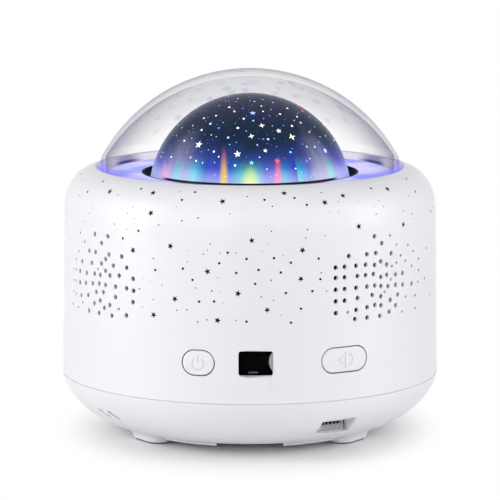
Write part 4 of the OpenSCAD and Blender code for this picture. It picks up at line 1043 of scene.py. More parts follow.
@dataclass
class Drum:
    """The white housing: side, rounded shoulder, collar, grilles and the openings for the controls."""

    shop: Workshop
    radius: float = 75.0
    top_radius: float = 74.0
    seam: float = 24.1
    groove: float = 0.4
    shoulder: float = 88.4
    reach: float = 16.5
    rise: float = 18.2
    power: float = 2.3
    wall: float = 2.4
    opening: float = 60.7
    edge: float = 1.2
    collar: float = 1.8
    ledge: float = 99.0
    ledge_radius: float = 55.2
    thin: float = 1.2
    thin_from: float = 51.5
    thin_to: float = 87.6
    step: float = 0.6
    ease: Point = (0.12, 0.16)
    hole: float = 0.94
    small: float = 0.6
    rod: float = 14.0
    seed: int = 11
    tries: int = 900
    mark_heights: Point = (54.0, 104.6)
    grille_middle: float = 70.0
    grille_half: float = 17.5
    grille_zones: tuple[Point, Point] = ((24.0, 77.0), (-69.0, -35.0))
    front_half: float = 82.0
    middle_half: float = 60.0
    star_size: float = 1.22
    dot_size: float = 0.5
    star_gap: float = 4.2
    dot_gap: float = 2.4

    # Grille holes by height, each with the azimuths of its holes; the second list has the small ones.
    # A separate script worked these out from hole positions that were read off the picture by eye.
    RIGHT = ((86, 40), (83, 43), (79.5, 30.5, 37, 40.5), (78.5, 47), (76, 42.5), (75.5, 26, 29, 33, 36.5),
             (75, 40), (74.5, 45), (71.5, 26, 29, 33.5, 36.5, 39.5), (70.5, 45), (70, 42.5, 49, 52.5),
             (67, 26, 29, 33, 37, 40), (66.5, 42.5), (66, 45.5, 49), (65.5, 52.5), (65, 57.5), (63.5, 39),
             (63, 33.5), (62.5, 26, 29, 42.5), (62, 50), (60.5, 46.5), (59.5, 40), (59, 37, 42.5),
             (58.5, 33), (58, 26, 49), (56, 46), (55, 32.5, 37, 42))
    RIGHT_SMALL = ((85.5, 46.5), (81.5, 49.5), (80.5, 55.5), (77.5, 58.5), (77, 51.5, 68.5),
                   (74.5, 49.5, 54), (74, 62), (73.5, 47.3), (72, 57.5), (69.5, 62), (68.4, 46.8),
                   (65.5, 66.5), (65, 61.5), (64, 44), (63, 75), (60.5, 54), (60, 59.5), (58, 30, 72),
                   (55, 52, 59.5))
    LEFT = ((85, -54, -47.5), (82, -50.5), (78, -57, -53.5, -47, -41.5), (76, -48.5),
            (74, -50.5, -45, -39.5), (73.5, -55.5), (73, -61.5), (71.5, -48.5), (70.5, -42.5),
            (70, -46.5, -37), (69.5, -54, -51), (69, -63, -58.5), (66, -51.5, -48.5, -44, -39.5),
            (65.5, -55), (65.4, -36.8), (65, -59), (64.5, -63), (63, -49.5), (62.5, -53), (62, -44),
            (61, -37), (60.5, -57.5), (59.5, -62, -51), (58.5, -46.5), (58, -54), (57, -49), (55.5, -39.5),
            (54.5, -57, -51.5, -45.5))
    LEFT_SMALL = ((84, -63), (81, -60), (76.5, -64), (73, -66), (71.6, -52.2), (69, -68, -66),
                  (64.5, -68, -66), (60, -68), (59.5, -66), (57.5, -42.5), (57, -61), (55, -68.5),
                  (54.5, -64))

    def side(self, height: float) -> float:
        """The radius of the straight side at a height."""
        share = (height - self.seam) / (self.shoulder - self.seam)
        return self.radius - (self.radius - self.top_radius) * share

    def arc(self, inset: float, stop: float, steps: int) -> list[Point]:
        """Points of the shoulder, set in from the outside, up to a radius."""
        a, h, mid = self.reach - inset, self.rise - inset, self.top_radius - self.reach
        last = acos(((stop - mid) / a) ** (self.power / 2))
        turns = [last * i / steps for i in range(steps + 1)]
        return [(mid + a * cos(t) ** (2 / self.power), self.shoulder + h * sin(t) ** (2 / self.power))
                for t in turns]

    def outline(self) -> list[Point]:
        """The closed outline of the wall."""
        outer = self.arc(0, self.opening + self.edge, 44)
        middle, level = self.opening + self.edge, outer[-1][1] - self.edge
        lip = [(middle - y, level + x) for x, y in quarter(self.edge, 8)[1:]]
        inner = self.arc(self.wall, self.opening + self.collar, 18)[::-1]
        steps = ((self.thin_to + self.step, self.wall), (self.thin_to, self.thin), (self.thin_from, self.thin),
                 (self.thin_from - self.step, self.wall))
        inner += [(self.side(z) - thick, z) for z, thick in steps]
        chamfer = [(self.radius - self.wall, self.seam), (self.radius - self.groove, self.seam),
                   (self.radius - self.ease[0], self.seam + self.ease[1]),
                   (self.radius, self.seam + self.groove)]
        under = self.ledge - self.wall
        ledge = [(self.opening, self.ledge), (self.ledge_radius, self.ledge), (self.ledge_radius, under),
                 (self.opening + self.collar, under)]
        return [*chamfer, *outer, *lip, *ledge, *inner]

    def normal(self, place: Vector) -> Vector:
        """The outward direction of the ideal outer skin at a point."""
        radius, height = hypot(place.x, place.y) / MM, place.z / MM
        slope = (self.radius - self.top_radius) / (self.shoulder - self.seam)
        if height <= self.shoulder:
            flat, up = 1.0, slope
        else:
            mid = self.top_radius - self.reach
            u = max(0.0, (radius - mid) / self.reach)
            v = (height - self.shoulder) / self.rise
            flat = u ** (self.power - 1) / self.reach
            up = v ** (self.power - 1) / self.rise
            size = hypot(flat, up)
            flat, up = flat / size, up / size + slope * max(0.0, 1 - v * 3)
        around = Vector((place.x, place.y, 0)).normalized()
        return (around * flat + Vector((0, 0, up))).normalized()

    def skin(self, height: float) -> float:
        """The radius of the outer skin at a height, the shoulder's included."""
        if height <= self.shoulder:
            return self.side(height)
        v = min(1.0, (height - self.shoulder) / self.rise)
        return self.top_radius - self.reach + self.reach * (1 - v ** self.power) ** (1 / self.power)

    def through(self, name: str, control: "Control", radius: float | None = None) -> Piece:
        """A rod through the wall for a control, a stadium or a flared window with a corner radius."""
        width, height = control.width + 2 * control.gap, control.height + 2 * control.gap
        outline = stadium(width, height) if radius is None else rounded(width, height, radius)
        face, flare = self.side(control.level), control.flare
        levels = [(60.0, 0.0), (face - flare, 0.0), (face + 2.0, flare and flare + 2.0)]
        loops = [[(x * (1 + 2 * grow / width), y * (1 + 2 * grow / height), z) for x, y in outline]
                 for z, grow in levels]
        return placed(self.shop.loft(name, loops, WHITE), outward(control.azimuth, control.level))

    def rods(self) -> list[Piece]:
        """The rods that leave the grilles' holes."""
        made = []
        grilles = (("left", self.LEFT, self.LEFT_SMALL), ("right", self.RIGHT, self.RIGHT_SMALL))
        for name, large, small in grilles:
            holes = [(a, row[0], 1.0) for row in large for a in row[1:]]
            holes += [(a, row[0], self.small) for row in small for a in row[1:]]
            mesh = mesh_of(f"{name}_points", [polar(self.radius, a, z) for a, z, _ in holes], unit=1.0)
            store(mesh, "azimuth", [radians(h[0]) for h in holes])
            store(mesh, "share", [h[2] for h in holes])
            values = {"Rod length": self.rod * MM, "Hole radius": self.hole * MM, "Sides": 28}
            made.append(self.shop.grille.run(f"{name}_rods", mesh, values, WHITE))
        return made

    def build(self) -> Piece:
        """The housing with its holes."""
        housing = self.shop.turned("drum_housing", self.outline(), WHITE)
        holes = (self.through("power_hole", POWER), self.through("sound_hole", SOUND),
                 self.through("window_hole", WINDOW, 0.8))
        cut(housing, [*self.rods(), *holes])
        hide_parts("upper_housing")
        finished(housing, "housing")
        self.smooth(housing)
        return housing

    def liner(self) -> Piece:
        """The ring that lines the lip round the clear dome's foot."""
        inner, outer = self.opening - 0.85, self.opening - 0.04
        foot, top = self.ledge + 0.03, self.ledge + 6.9
        outline = [(inner, foot), (outer, foot), (outer, top), (outer - 0.3, top), (inner, top - 0.4)]
        ring = self.shop.turned("lip_seal", outline, LINER, 256)
        return finished(ring, "housing")

    def smooth(self, obj: Piece) -> None:
        """Gives the outer skin its exact normals, so that the cut facets don't show."""
        mesh = obj.data
        on_skin = [self.on_skin(v.co) for v in mesh.vertices]
        normals = [(0.0, 0.0, 0.0)] * len(mesh.loops)
        for face in mesh.polygons:
            if sum(on_skin[i] for i in face.vertices) < 0.7 * len(face.vertices):
                continue
            for corner in face.loop_indices:
                place = mesh.vertices[mesh.loops[corner].vertex_index].co
                normals[corner] = tuple(self.normal(place))
        mesh.normals_split_custom_set(normals)

    def on_skin(self, place: Vector) -> bool:
        """Whether a point of the mesh lies on the outer skin."""
        radius, height = hypot(place.x, place.y) / MM, place.z / MM
        if height < self.seam + self.groove - 0.01 or radius < self.opening + self.edge - 0.01:
            return False
        if height <= self.shoulder:
            return abs(radius - self.side(height)) < 0.05
        u = max(0.0, radius - self.top_radius + self.reach) / self.reach
        return abs(u ** self.power + ((height - self.shoulder) / self.rise) ** self.power - 1) < 0.02

    # The front's stars as (azimuth, height, size) and its dots as (azimuth, height).
    # A separate script worked the places out from positions that were read off the picture by eye.
    STARS = ((-37, 81, 1.15), (-24, 83.9, 1.1), (-12.5, 74.9, 1.1), (-3.5, 66.8, 1.1), (-22.5, 63.8, 1.1),
             (-29.5, 57, 1.1), (-9.5, 56.4, 1.1), (0.5, 87, 1.0), (15.5, 82.9, 1.1), (15, 72, 1.0),
             (5, 60.5, 1.0), (34, 90.5, 1.1), (53, 88.8, 1.0), (-50.5, 101.6, 1.1), (-32.5, 102.9, 1.1),
             (-8.5, 101.2, 1.1), (-31, 95.8, 1.1), (11, 103.9, 1.1), (23.5, 100.2, 1.1), (30.5, 102.1, 1.0),
             (50, 102.6, 1.1))
    DOTS = ((-35, 88.7), (-41, 85.1), (-20, 75.6), (-6.5, 82.3), (-9, 78.2), (-1, 80), (-4, 74.6),
            (-15, 63.3), (-10.5, 63.6), (-29, 74.3), (-1, 56.1), (-17, 71.5), (7, 80.2), (12, 78.3),
            (20.5, 79.4), (21, 71.5), (9, 74.7), (1.5, 70.5), (10.5, 66.8), (18.5, 67.1), (15, 60.6),
            (12, 55.4), (2.5, 75.8), (-18, 104), (-58.5, 104.3), (-38, 103.8), (-21.5, 101.2), (-62.5, 99.9),
            (43, 103.5), (4.5, 101.8), (14, 102.2), (17.5, 99.7), (66, 104.3), (64.5, 99.7), (74, 90.5))

    def marks(self) -> Piece:
        """The small stars and dots that are let into the drum's skin."""
        rows = [(a, z, s * self.star_size, Kind.FIVE) for a, z, s in self.STARS]
        rows += [(a, z, self.dot_size, Kind.DOT) for a, z in self.DOTS]
        draw = np.random.default_rng(self.seed)
        for _ in range(self.tries):
            azimuth, height = draw.uniform(-180, 180), draw.uniform(*self.mark_heights)
            level = abs(height - self.grille_middle) < self.grille_half
            if level and any(low < azimuth < high for low, high in self.grille_zones):
                continue
            front = abs(azimuth) <= self.front_half
            star = not front and draw.random() < 0.2
            size = draw.uniform(0.9, 1.15) if star else draw.uniform(0.15, 0.32 if front else 0.45)
            gap = self.star_gap if star else self.dot_gap
            away = [(hypot((azimuth - a + 180) % 360 - 180, height - z), s) for a, z, s, _ in rows]
            if any(far * 1.3 < gap + s for far, s in away):
                continue
            if front and draw.random() < (0.5 if abs(azimuth) < self.middle_half else 0.8):
                continue
            rows.append((azimuth, height, size, Kind.FIVE if star else Kind.DOT))
        made = []
        for azimuth, height, size, kind in rows:
            place = polar(self.skin(height) - 0.03, azimuth, height)
            made.append(Mark(place, self.normal(place), size, kind, twist=draw.uniform(0, 6.28)))
        obj = self.shop.laid("drum_marks", made, 0.05, MARK_GREY)
        return finished(obj, "housing")


# ---- the base


@dataclass
class Base:
    """The bowl under the drum, with its feet, the socket's pocket and two vents."""

    shop: Workshop
    radius: float = 75.0
    flat: float = 50.0
    seam: float = 24.1
    under: float = 3.9
    floor: float = 6.1
    drop_power: float = 1.6
    out_power: float = 1.75
    foot_radius: float = 46.3
    foot_azimuths: tuple[float, ...] = (-56.0, 56.0, 124.0, 236.0)
    foot_half: float = 5.7
    foot_length: float = 8.0
    pad: float = 0.6
    socket_azimuth: float = 29.2
    socket_face: float = 57.0
    socket_height: float = 12.7
    pocket: Point = (14.4, 6.1)
    tunnel: float = 1.2
    vents: tuple[float, float] = (-54.4, -49.3)
    vent: Point = (6.4, 1.8)
    vent_radius: float = 69.7
    vent_height: float = 13.8
    vent_tilt: float = -48.0
    vent_turn: float = 40.0
    plug: Point = (0.5, 2.4)
    wall: float = 2.4
    lip_radii: Point = (72.4, 71.2)
    lip_heights: Point = (21.6, 26.5)

    def curve(self, top: float, flat: float, high: float, low: float, steps: int) -> list[Point]:
        """Points of the bowl from its flat underside up to the seam."""
        points = []
        for i in range(steps + 1):
            drop = sin(pi / 2 * (1 - i / steps))
            points.append((flat + (top - flat) * self.bulge(drop), high - (high - low) * drop))
        return points

    def bulge(self, drop: float) -> float:
        """How far out the bowl stands, from 0 at its flat underside to 1 at the seam, by its share of drop."""
        return (1 - drop ** self.drop_power) ** (1 / self.out_power)

    def stadium_loops(self, steps: Sequence[Point]) -> list[list[tuple]]:
        """Loops of a foot's outline at (height, growth) steps."""
        loops = []
        for z, grow in steps:
            size = 2 * (self.foot_half + grow)
            ring = stadium(self.foot_length + size, size, 64)
            loops.append([(x, y - self.foot_radius, z) for x, y in ring])
        return loops

    def feet(self, name: str, steps: Sequence[Point], finish: Finish) -> Piece:
        """The four feet or pads, from (height, growth) steps."""
        made = []
        for number, azimuth in enumerate(self.foot_azimuths):
            one = self.shop.loft(f"{name}_{number}", self.stadium_loops(steps), finish)
            made.append(placed(one, spin(azimuth)))
        return joined(name, made)

    def skin(self, height: float) -> float:
        """The radius of the bowl's outer skin at a height."""
        drop = (self.seam - height) / (self.seam - self.under)
        return self.flat + (self.radius - self.flat) * self.bulge(drop)

    def pocket_ring(self, grow: float) -> list[Point]:
        """The pocket's outline grown all round, as (across, height) points."""
        width, height = self.pocket
        ring = rounded(width + 2 * grow, height + 2 * grow, 0.5 + grow, 6)
        return [(x, z + self.socket_height) for x, z in ring]

    def under_skin(self, ring: Sequence[Point], inset: float) -> list[tuple[float, float, float]]:
        """A ring pushed out along the socket until it is this far inside the bowl's skin."""
        return [(x, -sqrt((self.skin(z) - inset) ** 2 - x * x), z) for x, z in ring]

    def pocket_block(self, grow: float, back: float, inset: float | None) -> Piece:
        """A block along the socket, which ends inside the skin by an inset or runs clear of it."""
        ring = self.pocket_ring(grow)
        clear = [(x, -self.socket_face - 21.0, z) for x, z in ring]
        loops = [[(x, back - self.socket_face, z) for x, z in ring],
                 clear if inset is None else self.under_skin(ring, inset)]
        return placed(self.shop.loft("pocket_block", loops, WHITE), spin(self.socket_azimuth))

    def mouth_tool(self) -> Piece:
        """What leaves the eased edge round the pocket's mouth: its outline, grown as it nears the skin."""
        steps = ((0.0, 0.6), (0.06, 0.42), (0.2, 0.25), (0.75, -0.35))
        loops = [self.under_skin(self.pocket_ring(grow), inset) for grow, inset in steps]
        return placed(self.shop.loft("pocket_mouth", loops, WHITE), spin(self.socket_azimuth))

    def vent_tool(self, azimuth: float, low: float = -5.0, high: float = 5.0,
                  finish: Finish | None = None) -> Piece:
        """The slanted slot of one vent, square to the bowl, between two depths."""
        turn = radians(self.vent_turn)
        loops = [[(x * cos(turn) - y * sin(turn), x * sin(turn) + y * cos(turn), z)
                  for x, y in stadium(*self.vent, 48)] for z in (low, high)]
        slot = self.shop.loft("vent", loops, finish or WHITE)
        shift = Matrix.Translation((0, -self.vent_radius * MM, self.vent_height * MM))
        return placed(slot, spin(azimuth) @ shift @ spin(self.vent_tilt, "X"))

    def build(self) -> Piece:
        """The base shell, its feet and their pads."""
        # Dark grey plugs fill the vent slots from a little below the skin: the shallow recesses are real, and
        # the plugs' dark grey is painted shade of the slots.
        plugs = [self.vent_tool(azimuth, *self.plug, GREY) for azimuth in self.vents]
        finished(joined("vent_grilles", plugs), "housing")
        outer = self.curve(self.radius, self.flat, self.seam, self.under, 60)
        inner = self.curve(self.radius - self.wall, self.flat - 1.5, self.seam, self.floor, 24)[::-1]
        out, within = self.lip_radii
        low, high = self.lip_heights
        lip = [(out, self.seam), (out, high), (within, high), (within, low)]
        below = [point for point in inner if point[1] < low - 0.2]
        outline = [(0.0, self.under), *outer, *lip, *below, (0.0, self.floor)]
        bowl = self.shop.turned("base_bowl", outline, WHITE)
        cut(bowl, [self.pocket_block(self.tunnel, 1.2, 1.1)], "UNION")
        vents = [self.vent_tool(azimuth) for azimuth in self.vents]
        cut(bowl, [self.pocket_block(0.0, 1.4, None), self.mouth_tool(), *vents])
        steps = ((self.pad, -0.8), (self.pad + 0.12, -0.4), (self.pad + 0.4, -0.1), (self.pad + 0.8, 0.0),
                 (2.0, 0.15), (2.7, 0.45), (3.4, 1.0), (4.1, 1.8), (4.8, 2.9), (5.4, 4.1))
        shell = joined("base_shell_bowl", [bowl, self.feet("feet", steps, WHITE)])
        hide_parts("base_shell")
        finished(shell, "housing")
        pads = self.feet("foot_pads_soft", ((0.0, -1.3), (0.1, -1.1), (self.pad - 0.02, -1.1)), PAD)
        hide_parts("foot_pads")
        finished(pads, "housing")
        return shell


# ---- the domes


class Star(Enum):
    """The colours of the star dome's marks."""

    W = srgb(250, 250, 255)
    I = srgb(150, 178, 255)
    B = srgb(84, 96, 255)
    C = srgb(90, 214, 240)
    G = srgb(190, 255, 226)
    Y = srgb(250, 250, 200)
    P = srgb(255, 150, 200)
    K = srgb(255, 232, 240)
    E = srgb(206, 222, 255)
    R = srgb(255, 70, 90)
    L = srgb(196, 180, 255)
    D = srgb(92, 100, 140)


@dataclass
class StarDome:
    """The turning dark dome and the stars printed on it."""

    shop: Workshop
    radius: float = 40.3
    centre: float = 94.7
    wall: float = 1.4
    foot: float = 90.3
    seed: int = 5
    count: int = 520
    tries: int = 3000
    front_half: float = 84.0
    rises: Point = (0.26, 0.985)

    # The front's stars and dots as (azimuth, elevation, size, colour).
    # A separate script worked the places out from positions that were read off the picture by eye.
    BIG = ((-37, 34.7, 1.9, "E"), (-8, 30.1, 1.6, "W"), (1, 41.4, 1.4, "G"), (32, 40, 1.8, "Y"),
           (10, 48.9, 1.4, "K"), (3, 59.3, 1.45, "I"), (23, 44.6, 1.25, "W"), (17, 25.8, 1.4, "R"),
           (1, 25, 1.1, "C"), (10, 32.1, 1.0, "W"), (57, 29.2, 1.4, "L"))
    SMALL = ((-10, 47.1, 0.65, "W"), (-6, 54.3, 0.54, "W"), (-18, 60.6, 0.7, "P"), (-28, 64.5, 0.59, "W"),
             (-36, 55.9, 0.48, "W"), (-48, 52.9, 0.7, "I"), (-36, 49.2, 0.75, "I"), (-26, 46.5, 0.7, "B"),
             (-41, 44.3, 0.54, "W"), (-16, 40.3, 0.65, "I"), (-30, 41.5, 0.38, "L"), (-54, 46.5, 0.48, "I"),
             (-67, 43.7, 0.38, "I"), (-52, 36, 0.54, "W"), (-24, 31.1, 0.54, "W"), (-20, 28.2, 0.38, "W"),
             (-35, 25, 0.48, "W"), (-40, 26.6, 0.38, "W"), (-58, 25.3, 0.43, "W"), (-72, 23.8, 0.32, "W"),
             (-30, 24.1, 0.32, "W"), (-22, 24.7, 0.27, "L"), (-9, 23.4, 0.54, "W"), (10, 21.3, 0.43, "C"),
             (6, 28.2, 0.32, "W"), (5, 35.7, 0.43, "I"), (13, 39.3, 0.65, "I"), (18, 34.3, 0.38, "B"),
             (27, 30.6, 0.59, "C"), (41, 33.1, 0.54, "I"), (48, 32.4, 0.65, "C"), (37, 24.8, 0.65, "B"),
             (40, 25.9, 0.32, "W"), (28, 20.9, 0.38, "W"), (51, 42, 0.54, "P"), (37, 47.5, 0.59, "W"),
             (49, 49.2, 0.7, "I"), (51, 53.9, 0.48, "W"), (72, 57.4, 0.65, "R"), (51, 62, 0.59, "W"),
             (33, 57.5, 0.54, "Y"), (28, 56, 0.38, "D"), (20, 56.5, 0.38, "B"), (13, 54.4, 0.48, "B"),
             (15, 60.6, 0.43, "W"), (16, 66.2, 0.48, "W"), (3, 52.8, 0.54, "C"), (-9, 63.7, 0.48, "B"),
             (-25, 71.6, 0.54, "B"), (-29, 75.8, 0.38, "W"), (8, 71.8, 0.38, "G"), (27, 74.3, 0.48, "C"),
             (26, 62.2, 0.32, "I"), (40, 69.6, 0.48, "L"), (29, 48.2, 0.43, "B"), (69, 37.6, 0.43, "L"),
             (81, 33.3, 0.48, "W"), (81, 43.2, 0.38, "B"), (71, 51.9, 0.38, "I"), (-46, 65.2, 0.38, "I"))

    def at(self, azimuth: float, rise: float, out: float = 0.0) -> tuple[Vector, Vector]:
        """The place and the outward direction of a point on the dome, from its azimuth and elevation."""
        aim = aimed(azimuth, rise)
        return aim * (self.radius + out) * MM + Vector((0, 0, self.centre * MM)), aim

    def build(self) -> Piece:
        """The dome's shell."""
        thin = self.radius - self.wall
        outer = [(r, self.centre + z) for r, z in quarter(self.radius, 96)]
        inner = [(r, self.centre + z) for r, z in quarter(thin, 40)[::-1]]
        outer[-1], inner[0] = (0.0, outer[-1][1]), (0.0, inner[0][1])
        foot = [(thin, self.foot), (self.radius - 0.2, self.foot), (self.radius, self.foot + 0.2)]
        dome = self.shop.turned("star_dome_shell", [*foot, *outer, *inner], FILM, 256)
        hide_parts("star_dome")
        return finished(dome, "turntable")

    def stars(self) -> Piece:
        """Stars and dots that shine through the film."""
        rows = [(*row, Kind.FOUR if row[3] in "GKY" else Kind.FIVE) for row in self.BIG]
        rows += [(*row, Kind.DOT) for row in self.SMALL]
        draw = np.random.default_rng(self.seed)
        for _ in range(self.tries):
            azimuth = draw.uniform(-180, 180)
            rise = degrees(asin(draw.uniform(*self.rises)))
            front = abs(azimuth) < self.front_half
            big = not front and draw.random() < 0.05
            dots = (0.11, 0.13, 0.16, 0.22, 0.3 if front else 0.55)
            size = draw.uniform(1.0, 1.6) if big else float(draw.choice(dots))
            aim = self.at(azimuth, rise)[1]
            away = [(degrees(aim.angle(self.at(a, r)[1])), s) for a, r, s, _, _ in rows]
            if any(far < (s + size) * 1.6 + 1.1 for far, s in away):
                continue
            tint = str(draw.choice(list("WIIBBBLCDDDD" if front else "WWWIIBBLCPRGY")))
            rows.append((azimuth, rise, size, tint, Kind.FIVE if big else Kind.DOT))
            if len(rows) > self.count:
                break
        made = []
        for azimuth, rise, size, tint, kind in rows:
            place, aim = self.at(azimuth, rise, -0.02)
            share = 0.72 if kind is Kind.DOT else 0.9
            made.append(Mark(place, aim, size * share, kind, Star[tint].value, draw.uniform(-0.3, 0.3)))
        obj = self.shop.laid("star_dome_stars", made, 0.06, STARS, 0.36)
        return finished(obj, "turntable")


@dataclass
class ClearDome:
    """The clear lift-off dome, with the soft spots of light that fall on it and the lit ring's reflection
    along its foot, both painted.
    """

    shop: Workshop
    sphere: float = 67.4
    centre: float = 77.4
    rim: float = 59.6
    foot: float = 101.1
    wall: float = 2.1
    hollow: float = 68.2
    drop: float = 4.0
    seed: int = 3
    foot_ease: float = 0.4
    # Painted reflection of the lit ring along the wall's foot at the front sides: its top, the turn from front
    # or back where it starts, and its colour.
    foot_top: float = 107.5
    foot_turn: float = 38.0
    foot_light: Colour = srgb(92, 92, 222)

    # The front's spots of light as (azimuth, elevation, size, colour).
    # A separate script worked the places out from positions that were read off the picture by eye.
    SPOTS = ((-45, 65, 1.6, "B"), (-35, 58.9, 1.5, "G"), (-51, 54.1, 1.2, "C"), (-48, 43.3, 1.2, "G"),
             (-55, 59.3, 1.2, "C"), (-54, 48.6, 1.0, "L"), (2, 71.9, 2.2, "L"), (-16, 62.5, 1.2, "L"),
             (-31, 70.4, 1.9, "L"), (43, 68.1, 1.6, "B"), (52, 63.2, 1.6, "B"), (37, 61.1, 1.2, "G"),
             (46, 57.5, 2.0, "B"), (19, 63.5, 1.3, "L"), (67, 49.7, 1.4, "B"), (55, 47.6, 1.6, "B"),
             (42, 48.6, 1.2, "L"), (73, 46.4, 1.2, "L"))

    def build(self) -> Piece:
        """The dome's wall."""
        outer = self.bow(self.sphere, self.rim, self.centre)
        inner = self.bow(self.hollow, self.rim - self.wall, self.centre - self.drop)[::-1]
        start = outer[0][1]
        ease = self.foot_ease
        rim = [(self.rim - self.wall, self.foot), (self.rim - ease, self.foot), (self.rim, self.foot + ease),
               (self.rim, start - 2.5), (self.rim - 0.02, start - 0.8)]
        dome = self.shop.turned("clear_dome_wall", [*rim, *outer[1:], *inner], CLEAR)
        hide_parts("clear_dome")
        finished(dome, "clear_dome", 40.0)
        self.glow(dome.data)
        return dome

    @staticmethod
    def bow(radius: float, rim: float, centre: float, steps: int = 90) -> list[Point]:
        """Points of a sphere's outline from the rim up to the pole."""
        first = acos(rim / radius)
        turns = [first + (pi / 2 - first) * i / steps for i in range(steps)]
        return [*((radius * cos(t), centre + radius * sin(t)) for t in turns), (0.0, centre + radius)]

    def glow(self, mesh: Mesh) -> None:
        """Writes painted light on the wall's points: the spots that the star dome throws, on the outer wall,
        and a painted reflection of the lit ring along the foot at the front sides.
        """
        count = len(mesh.vertices)
        places = np.zeros(count * 3)
        mesh.vertices.foreach_get("co", places)
        offset = places.reshape(-1, 3) / MM - (0, 0, self.centre)
        far = np.linalg.norm(offset, axis=1)
        aims = offset / far[:, None]
        glow = np.zeros((count, 3))
        rows = list(self.SPOTS)
        draw = np.random.default_rng(self.seed)
        for _ in range(40):
            azimuth, rise, size = draw.uniform(95, 265), draw.uniform(38, 76), draw.uniform(1.0, 2.0)
            rows.append((azimuth, rise, size, str(draw.choice(list("BBLLCG")))))
        for azimuth, rise, size, tint in rows:
            away = np.arccos(np.clip(aims @ np.array(aimed(azimuth, rise)), -1, 1)) * self.sphere
            share = np.exp(-(away / size) ** 2 * 1.6)
            glow += share[:, None] * np.array(Star[tint].value) * 0.8
        # Painted reflection of the lit ring along the wall's foot, at the front sides.
        height = offset[:, 2] + self.centre
        turn = np.degrees(np.arctan2(np.abs(offset[:, 0]), np.abs(offset[:, 1])))
        foot = np.clip((self.foot_top - height) / 0.6, 0, 1) * np.clip((turn - self.foot_turn) / 10, 0, 1)
        foot *= offset[:, 1] < 8
        glow[far < self.sphere - 0.6] = 0
        glow += foot[:, None] * np.array(self.foot_light) * 1.1
        values = np.hstack([glow, np.ones((count, 1))]).astype(np.float32).ravel()
        store(mesh, "glow", values, "FLOAT_COLOR")


# ---- the controls


@dataclass
class Button:
    """A push button whose face follows the wall, with a sign let into it."""

    shop: Workshop
    name: str
    place: Control
    strokes: tuple[tuple[Point, ...], ...]
    face: float = 75.006
    flange: float = 71.306
    fillet: float = 0.55
    pen: float = 0.17
    flange_width: float = 1.1

    def loop(self, grow: float, depth: float | None, scale: float = 1.0, drop: float = 0.0) -> list[tuple]:
        """The button's outline grown by an amount, at a depth or a little below its face."""
        ring = stadium(self.place.width + 2 * grow, self.place.height + 2 * grow, 120)
        ring = [(x * scale, y * scale) for x, y in ring]
        return [(x, y, sqrt(self.face ** 2 - x * x) - drop if depth is None else depth) for x, y in ring]

    def build(self) -> Piece:
        """The cap with its flange."""
        lip = self.flange_width
        loops = [self.loop(lip, self.flange - 1.0), self.loop(lip, self.flange), self.loop(0.0, self.flange)]
        loops += [self.loop(x - self.fillet, None, 1.0, self.fillet - y) for x, y in quarter(self.fillet, 6)]
        loops += [self.loop(-self.fillet, None, s) for s in (0.9, 0.75, 0.6, 0.45, 0.3, 0.15, 0.04)]
        cap = self.shop.loft(f"{self.name}_cap", loops, BUTTON)
        placed(cap, outward(self.place.azimuth, self.place.level))
        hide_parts(self.name)
        return finished(cap, self.name, 34.0)

    def sign(self) -> Piece:
        """The strokes of the sign, as thin inlays."""
        parts = [self.ribbon(f"{self.name}_stroke", stroke, self.pen) for stroke in self.strokes]
        made = placed(joined(f"{self.name}_sign", parts), outward(self.place.azimuth, self.place.level))
        return finished(made, self.name)

    def ribbon(self, name: str, stroke: Sequence[Point], half: float) -> Piece:
        """A thin raised line along points on the face."""
        loops = []
        for i, (x, y) in enumerate(stroke):
            a, b = stroke[max(0, i - 1)], stroke[min(len(stroke) - 1, i + 1)]
            along = Vector((b[0] - a[0], b[1] - a[1])).normalized()
            side = Vector((-along.y, along.x)) * half
            corners = []
            for sign, lift in ((1, -0.12), (1, 0.03), (-1, 0.03), (-1, -0.12)):
                px, py = x + sign * side.x, y + sign * side.y
                corners.append((px, py, sqrt(self.face ** 2 - px * px) + lift))
            loops.append(corners)
        return self.shop.loft(name, loops, SIGN_GREY)


def arc(centre: Point, radius: float, start: float, end: float, steps: int = 14) -> tuple[Point, ...]:
    """Points of an arc between two angles in degrees."""
    angles = [radians(start + (end - start) * i / steps) for i in range(steps + 1)]
    return tuple((centre[0] + radius * cos(a), centre[1] + radius * sin(a)) for a in angles)


@dataclass
class SlideKnob:
    """The round knob of the slide switch, parked at the right of its window."""

    shop: Workshop
    x: float = 10.8
    radius: float = 5.7
    back: float = 68.656
    thick: float = 1.6
    rounding: float = 0.6

    def build(self) -> Piece:
        """The disc with its rounded rim, dished face and stem."""
        top = self.back + self.thick
        outline = [(0.0, self.back), (self.radius - 0.3, self.back), (self.radius, self.back + 0.3)]
        edge, level = self.radius - self.rounding, top - self.rounding
        outline += [(edge + x, level + y) for x, y in quarter(self.rounding, 6)]
        outline += [(4.2, top), (3.4, top - 0.2), (1.6, top - 0.32), (0.0, top - 0.35)]
        disc = self.shop.turned("knob_disc", outline, KNOB, 128)
        loops = [[(x, y, z) for x, y in rounded(2.4, 2.4, 0.3, 3)] for z in (63.2, self.back + 0.1)]
        stem = self.shop.loft("knob_stem", loops, KNOB)
        knob = joined("slide_knob_disc", [disc, stem])
        placed(knob, outward(WINDOW.azimuth, WINDOW.level) @ Matrix.Translation((self.x * MM, 0, 0)))
        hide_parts("slide_knob")
        return finished(knob, "slide_knob")


# ---- the socket


